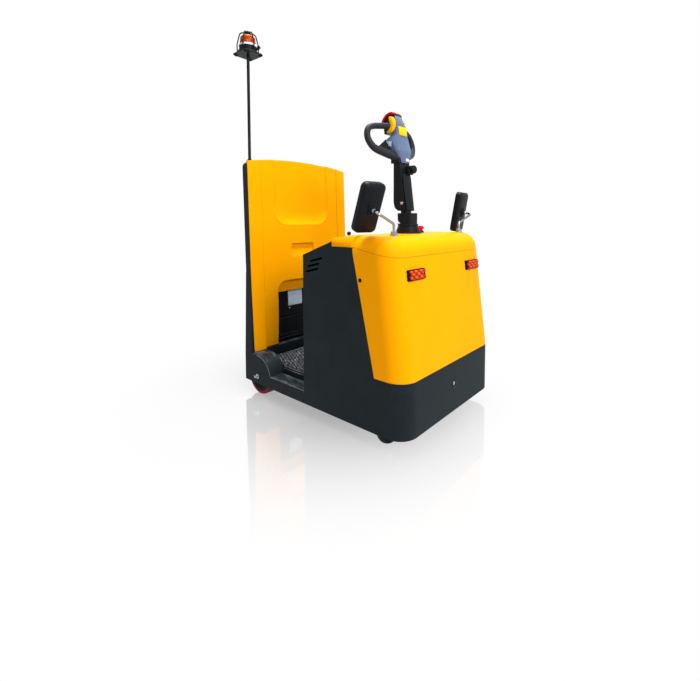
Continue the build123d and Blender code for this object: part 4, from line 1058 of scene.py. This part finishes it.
# %% Cover sides, feet and edges
levels = [FOOT_LOW + (KNEE - FOOT_LOW) * i / 8 for i in range(9)]
bends = [FOOT_BACK * ((KNEE - z) / (KNEE - FOOT_LOW)) ** 2 for z in levels]
for sign in SIGNS:
    foot, fold, side, lip = (sign * y for y in (FOOT_Y, FOLD, SIDE_Y, LIP))
    groove = [[(sign * y, z, depth) for z in (KNEE, crown(y))]
              for y, depth in ((RIM, 0), (SEAM, GROOVE), (FOLD, 0))]
    band(bm, *groove)
    bm.faces.new(row(bm, [line[0] for line in groove]))
    bent = [[(y, z, d) for z, d in zip(levels, bends)] for y in (foot, fold)]
    band(bm, [(foot, z, COVER_DEPTH) for z in levels], *bent, [(fold, z, 0) for z in levels])
    band(bm, [(fold, z, 0) for z in (LOW, *levels, crown(FOLD))],
         [(lip, z, LIP_DEPTH) for z in (LOW, *levels, crown(LIP))])
    run = [(lip, LIP_DEPTH), (lip, LIP_DEPTH + 2), (side, LIP_DEPTH + 2), (side, COVER_DEPTH)]
    band(bm, *([(y, z, d) for z in (LOW, crown(y))] for y, d in run))
    under = [(lip, LOW, LIP_DEPTH), (fold, LOW, 0), (fold, FOOT_LOW, FOOT_BACK), (foot, FOOT_LOW, FOOT_BACK)]
    band(bm, under, at([(side, LOW), (fold, LOW), (fold, FOOT_LOW), (foot, FOOT_LOW)], COVER_DEPTH))
half_top = [(LIP, LIP_DEPTH), (FOLD, 0), (SEAM, GROOVE), (RIM, 0),
            *((line[-1][0], drop) for line, drop in zip(rings, drops)),
            *((y, RECESS_DEPTH) for y in RECESS_FLOOR if y > 0)]
top = [(-y, d) for y, d in half_top] + [(0, RECESS_DEPTH)] + half_top[::-1]
band(bm, [(y, crown(y), d) for y, d in top], [(y, crown(y), COVER_DEPTH) for y, d in top])
piece("cover_skin", bm, "yellow_moulding", replaces=("backrest_cover",), angle=14)

# %% [markdown]
# ## Kick panel
# Behind the operator's heels is a black panel with a blank white plate, two screws and a raised frame.
# The panel leans as the tower does, by about two degrees.

# %% Blank plate, screws and frame
LEAN_FRONT = Vector((1, 0, SLOPE))
KICK_X, SCREW_Y, SCREW_Z = -476, 92, 408
FRAME = ((-170, 254), (170, 254), (170, 352), (-170, 352))
alone("blank_plate", "label_white", plate, oblong(108, 95, 5), 1.2,
      facing(leaning(KICK_X, -47, 469), LEAN_FRONT), 0.4)
bm = bmesh.new()
for y in (-SCREW_Y, SCREW_Y):
    turned(bm, ((0, 3), (3, 2.6), (5, 1), (5, 0), (0, 0)),
           facing(leaning(KICK_X, y, SCREW_Z), LEAN_FRONT), 18)
piece("kick_screws", bm, "bright_steel")
alone("kick_frame", "hub_iron", rods, [leaning(KICK_X, y, z) for y, z in FRAME], 2.5, 8, angle=60)

# %% [markdown]
# ## Dash and console
# The photograph doesn't show the side that the operator faces, so this place gets what such a vehicle
# needs: a blank display, a key switch, two push buttons, a tray, and a screwed service cover below.

# %% Dash fittings
DASH_X, DASH_Z, DASH_RISE, DASH_RUN = 3, 781, 69, 192
DASH_UP = Vector((-DASH_RISE, 0, DASH_RUN)).normalized()
KEY_Y, GREEN_Y, RED_Y = -150, 150, 195
TRAY = ((40, 245), (40, 365), (152, 365), (152, 245))


def on_dash(run, y, lift=0):
    """Point over the sloping dash, from its rear edge and the middle plane."""
    return Vector((DASH_X + run, y, DASH_Z + run * DASH_RISE / DASH_RUN)) + DASH_UP * lift


def dash_spot(y, lift=0):
    return facing(on_dash(DASH_RUN / 2, y, lift), DASH_UP)


bm = bmesh.new()
block(bm, (150, 92, 14), dash_spot(0, 5), 5)
turned(bm, ((12, 0), (19, 0), (19, 5), (16, 8), (12, 8)), dash_spot(KEY_Y), 32, closed=True)
for y in (GREEN_Y, RED_Y):
    turned(bm, ((0, 3), (15, 3), (18, 1), (18, 0), (0, 0)), dash_spot(y), 28)
rods(bm, [on_dash(run, y, 3) for run, y in TRAY], 4, 10)
piece("dash_fittings", bm, "dark_plastic")
alone("display_glass", "dark_glass", plate, oblong(126, 68, 4), 1.2, dash_spot(0, 12), 0.4)
bm = bmesh.new()
turned(bm, ((0, 9), (10, 9), (12, 7), (12, 0), (0, 0)), dash_spot(KEY_Y), 28)
block(bm, (3, 22, 26), dash_spot(KEY_Y, 18), 1.2)
piece("key_switch", bm, "bright_steel")
for name, y, finish in (("green_button", GREEN_Y, "button_green"), ("small_red_button", RED_Y, "signal_red")):
    alone(name, finish, turned, ((0, 9), (8, 8.4), (12, 6), (12, 2), (0, 2)), dash_spot(y), 28)

# %% Service cover
alone("service_cover", "dark_panel", plate, oblong(600, 440, 24), 3, facing((DASH_X, 0, 480), BEHIND), 1.2)
bm = bmesh.new()
for y in (-275, 0, 275):
    for z in (282, 678):
        bolt(bm, facing((0, y, z), BEHIND), 10)
piece("cover_bolts", bm, "bright_steel")

# %% [markdown]
# ## Back of the tower
# The back is a plain steel channel in the CAD. Pressed ribs stiffen such a sheet, a bolted flange carries
# the coupling, and two round red reflectors make it visible in traffic.

# %% Tower back
BACK_X, FLANGE_Z, FLANGE_THICK = -486, 215, 8


def tower_spot(y, z):
    return facing(leaning(BACK_X, y, z), -LEAN_FRONT)


bm = bmesh.new()
for y in (-240, 0, 240):
    plate(bm, oblong(70, 760, 34, 8), 5, tower_spot(y, 760), 4.5, 4)
plate(bm, oblong(150, 130, 16), FLANGE_THICK, facing((BACK_X, 0, FLANGE_Z), BEHIND), 2)
piece("tower_ribs", bm, "dark_panel")
bm = bmesh.new()
for y in (-58, 58):
    for z in (FLANGE_Z - 45, FLANGE_Z + 45):
        bolt(bm, facing((BACK_X - FLANGE_THICK, y, z), BEHIND), 16)
for y in (-345, 345):
    for z in (330, 560, 790, 1020, 1200):
        bolt(bm, tower_spot(y, z), 12)
piece("tower_bolts", bm, "bright_steel")
bm = bmesh.new()
for y in (-300, 300):
    turned(bm, ((0, 6), (20, 5.6), (25, 4), (27, 0), (0, 0)), tower_spot(y, 330), 40)
piece("reflectors", bm, "lamp_red")
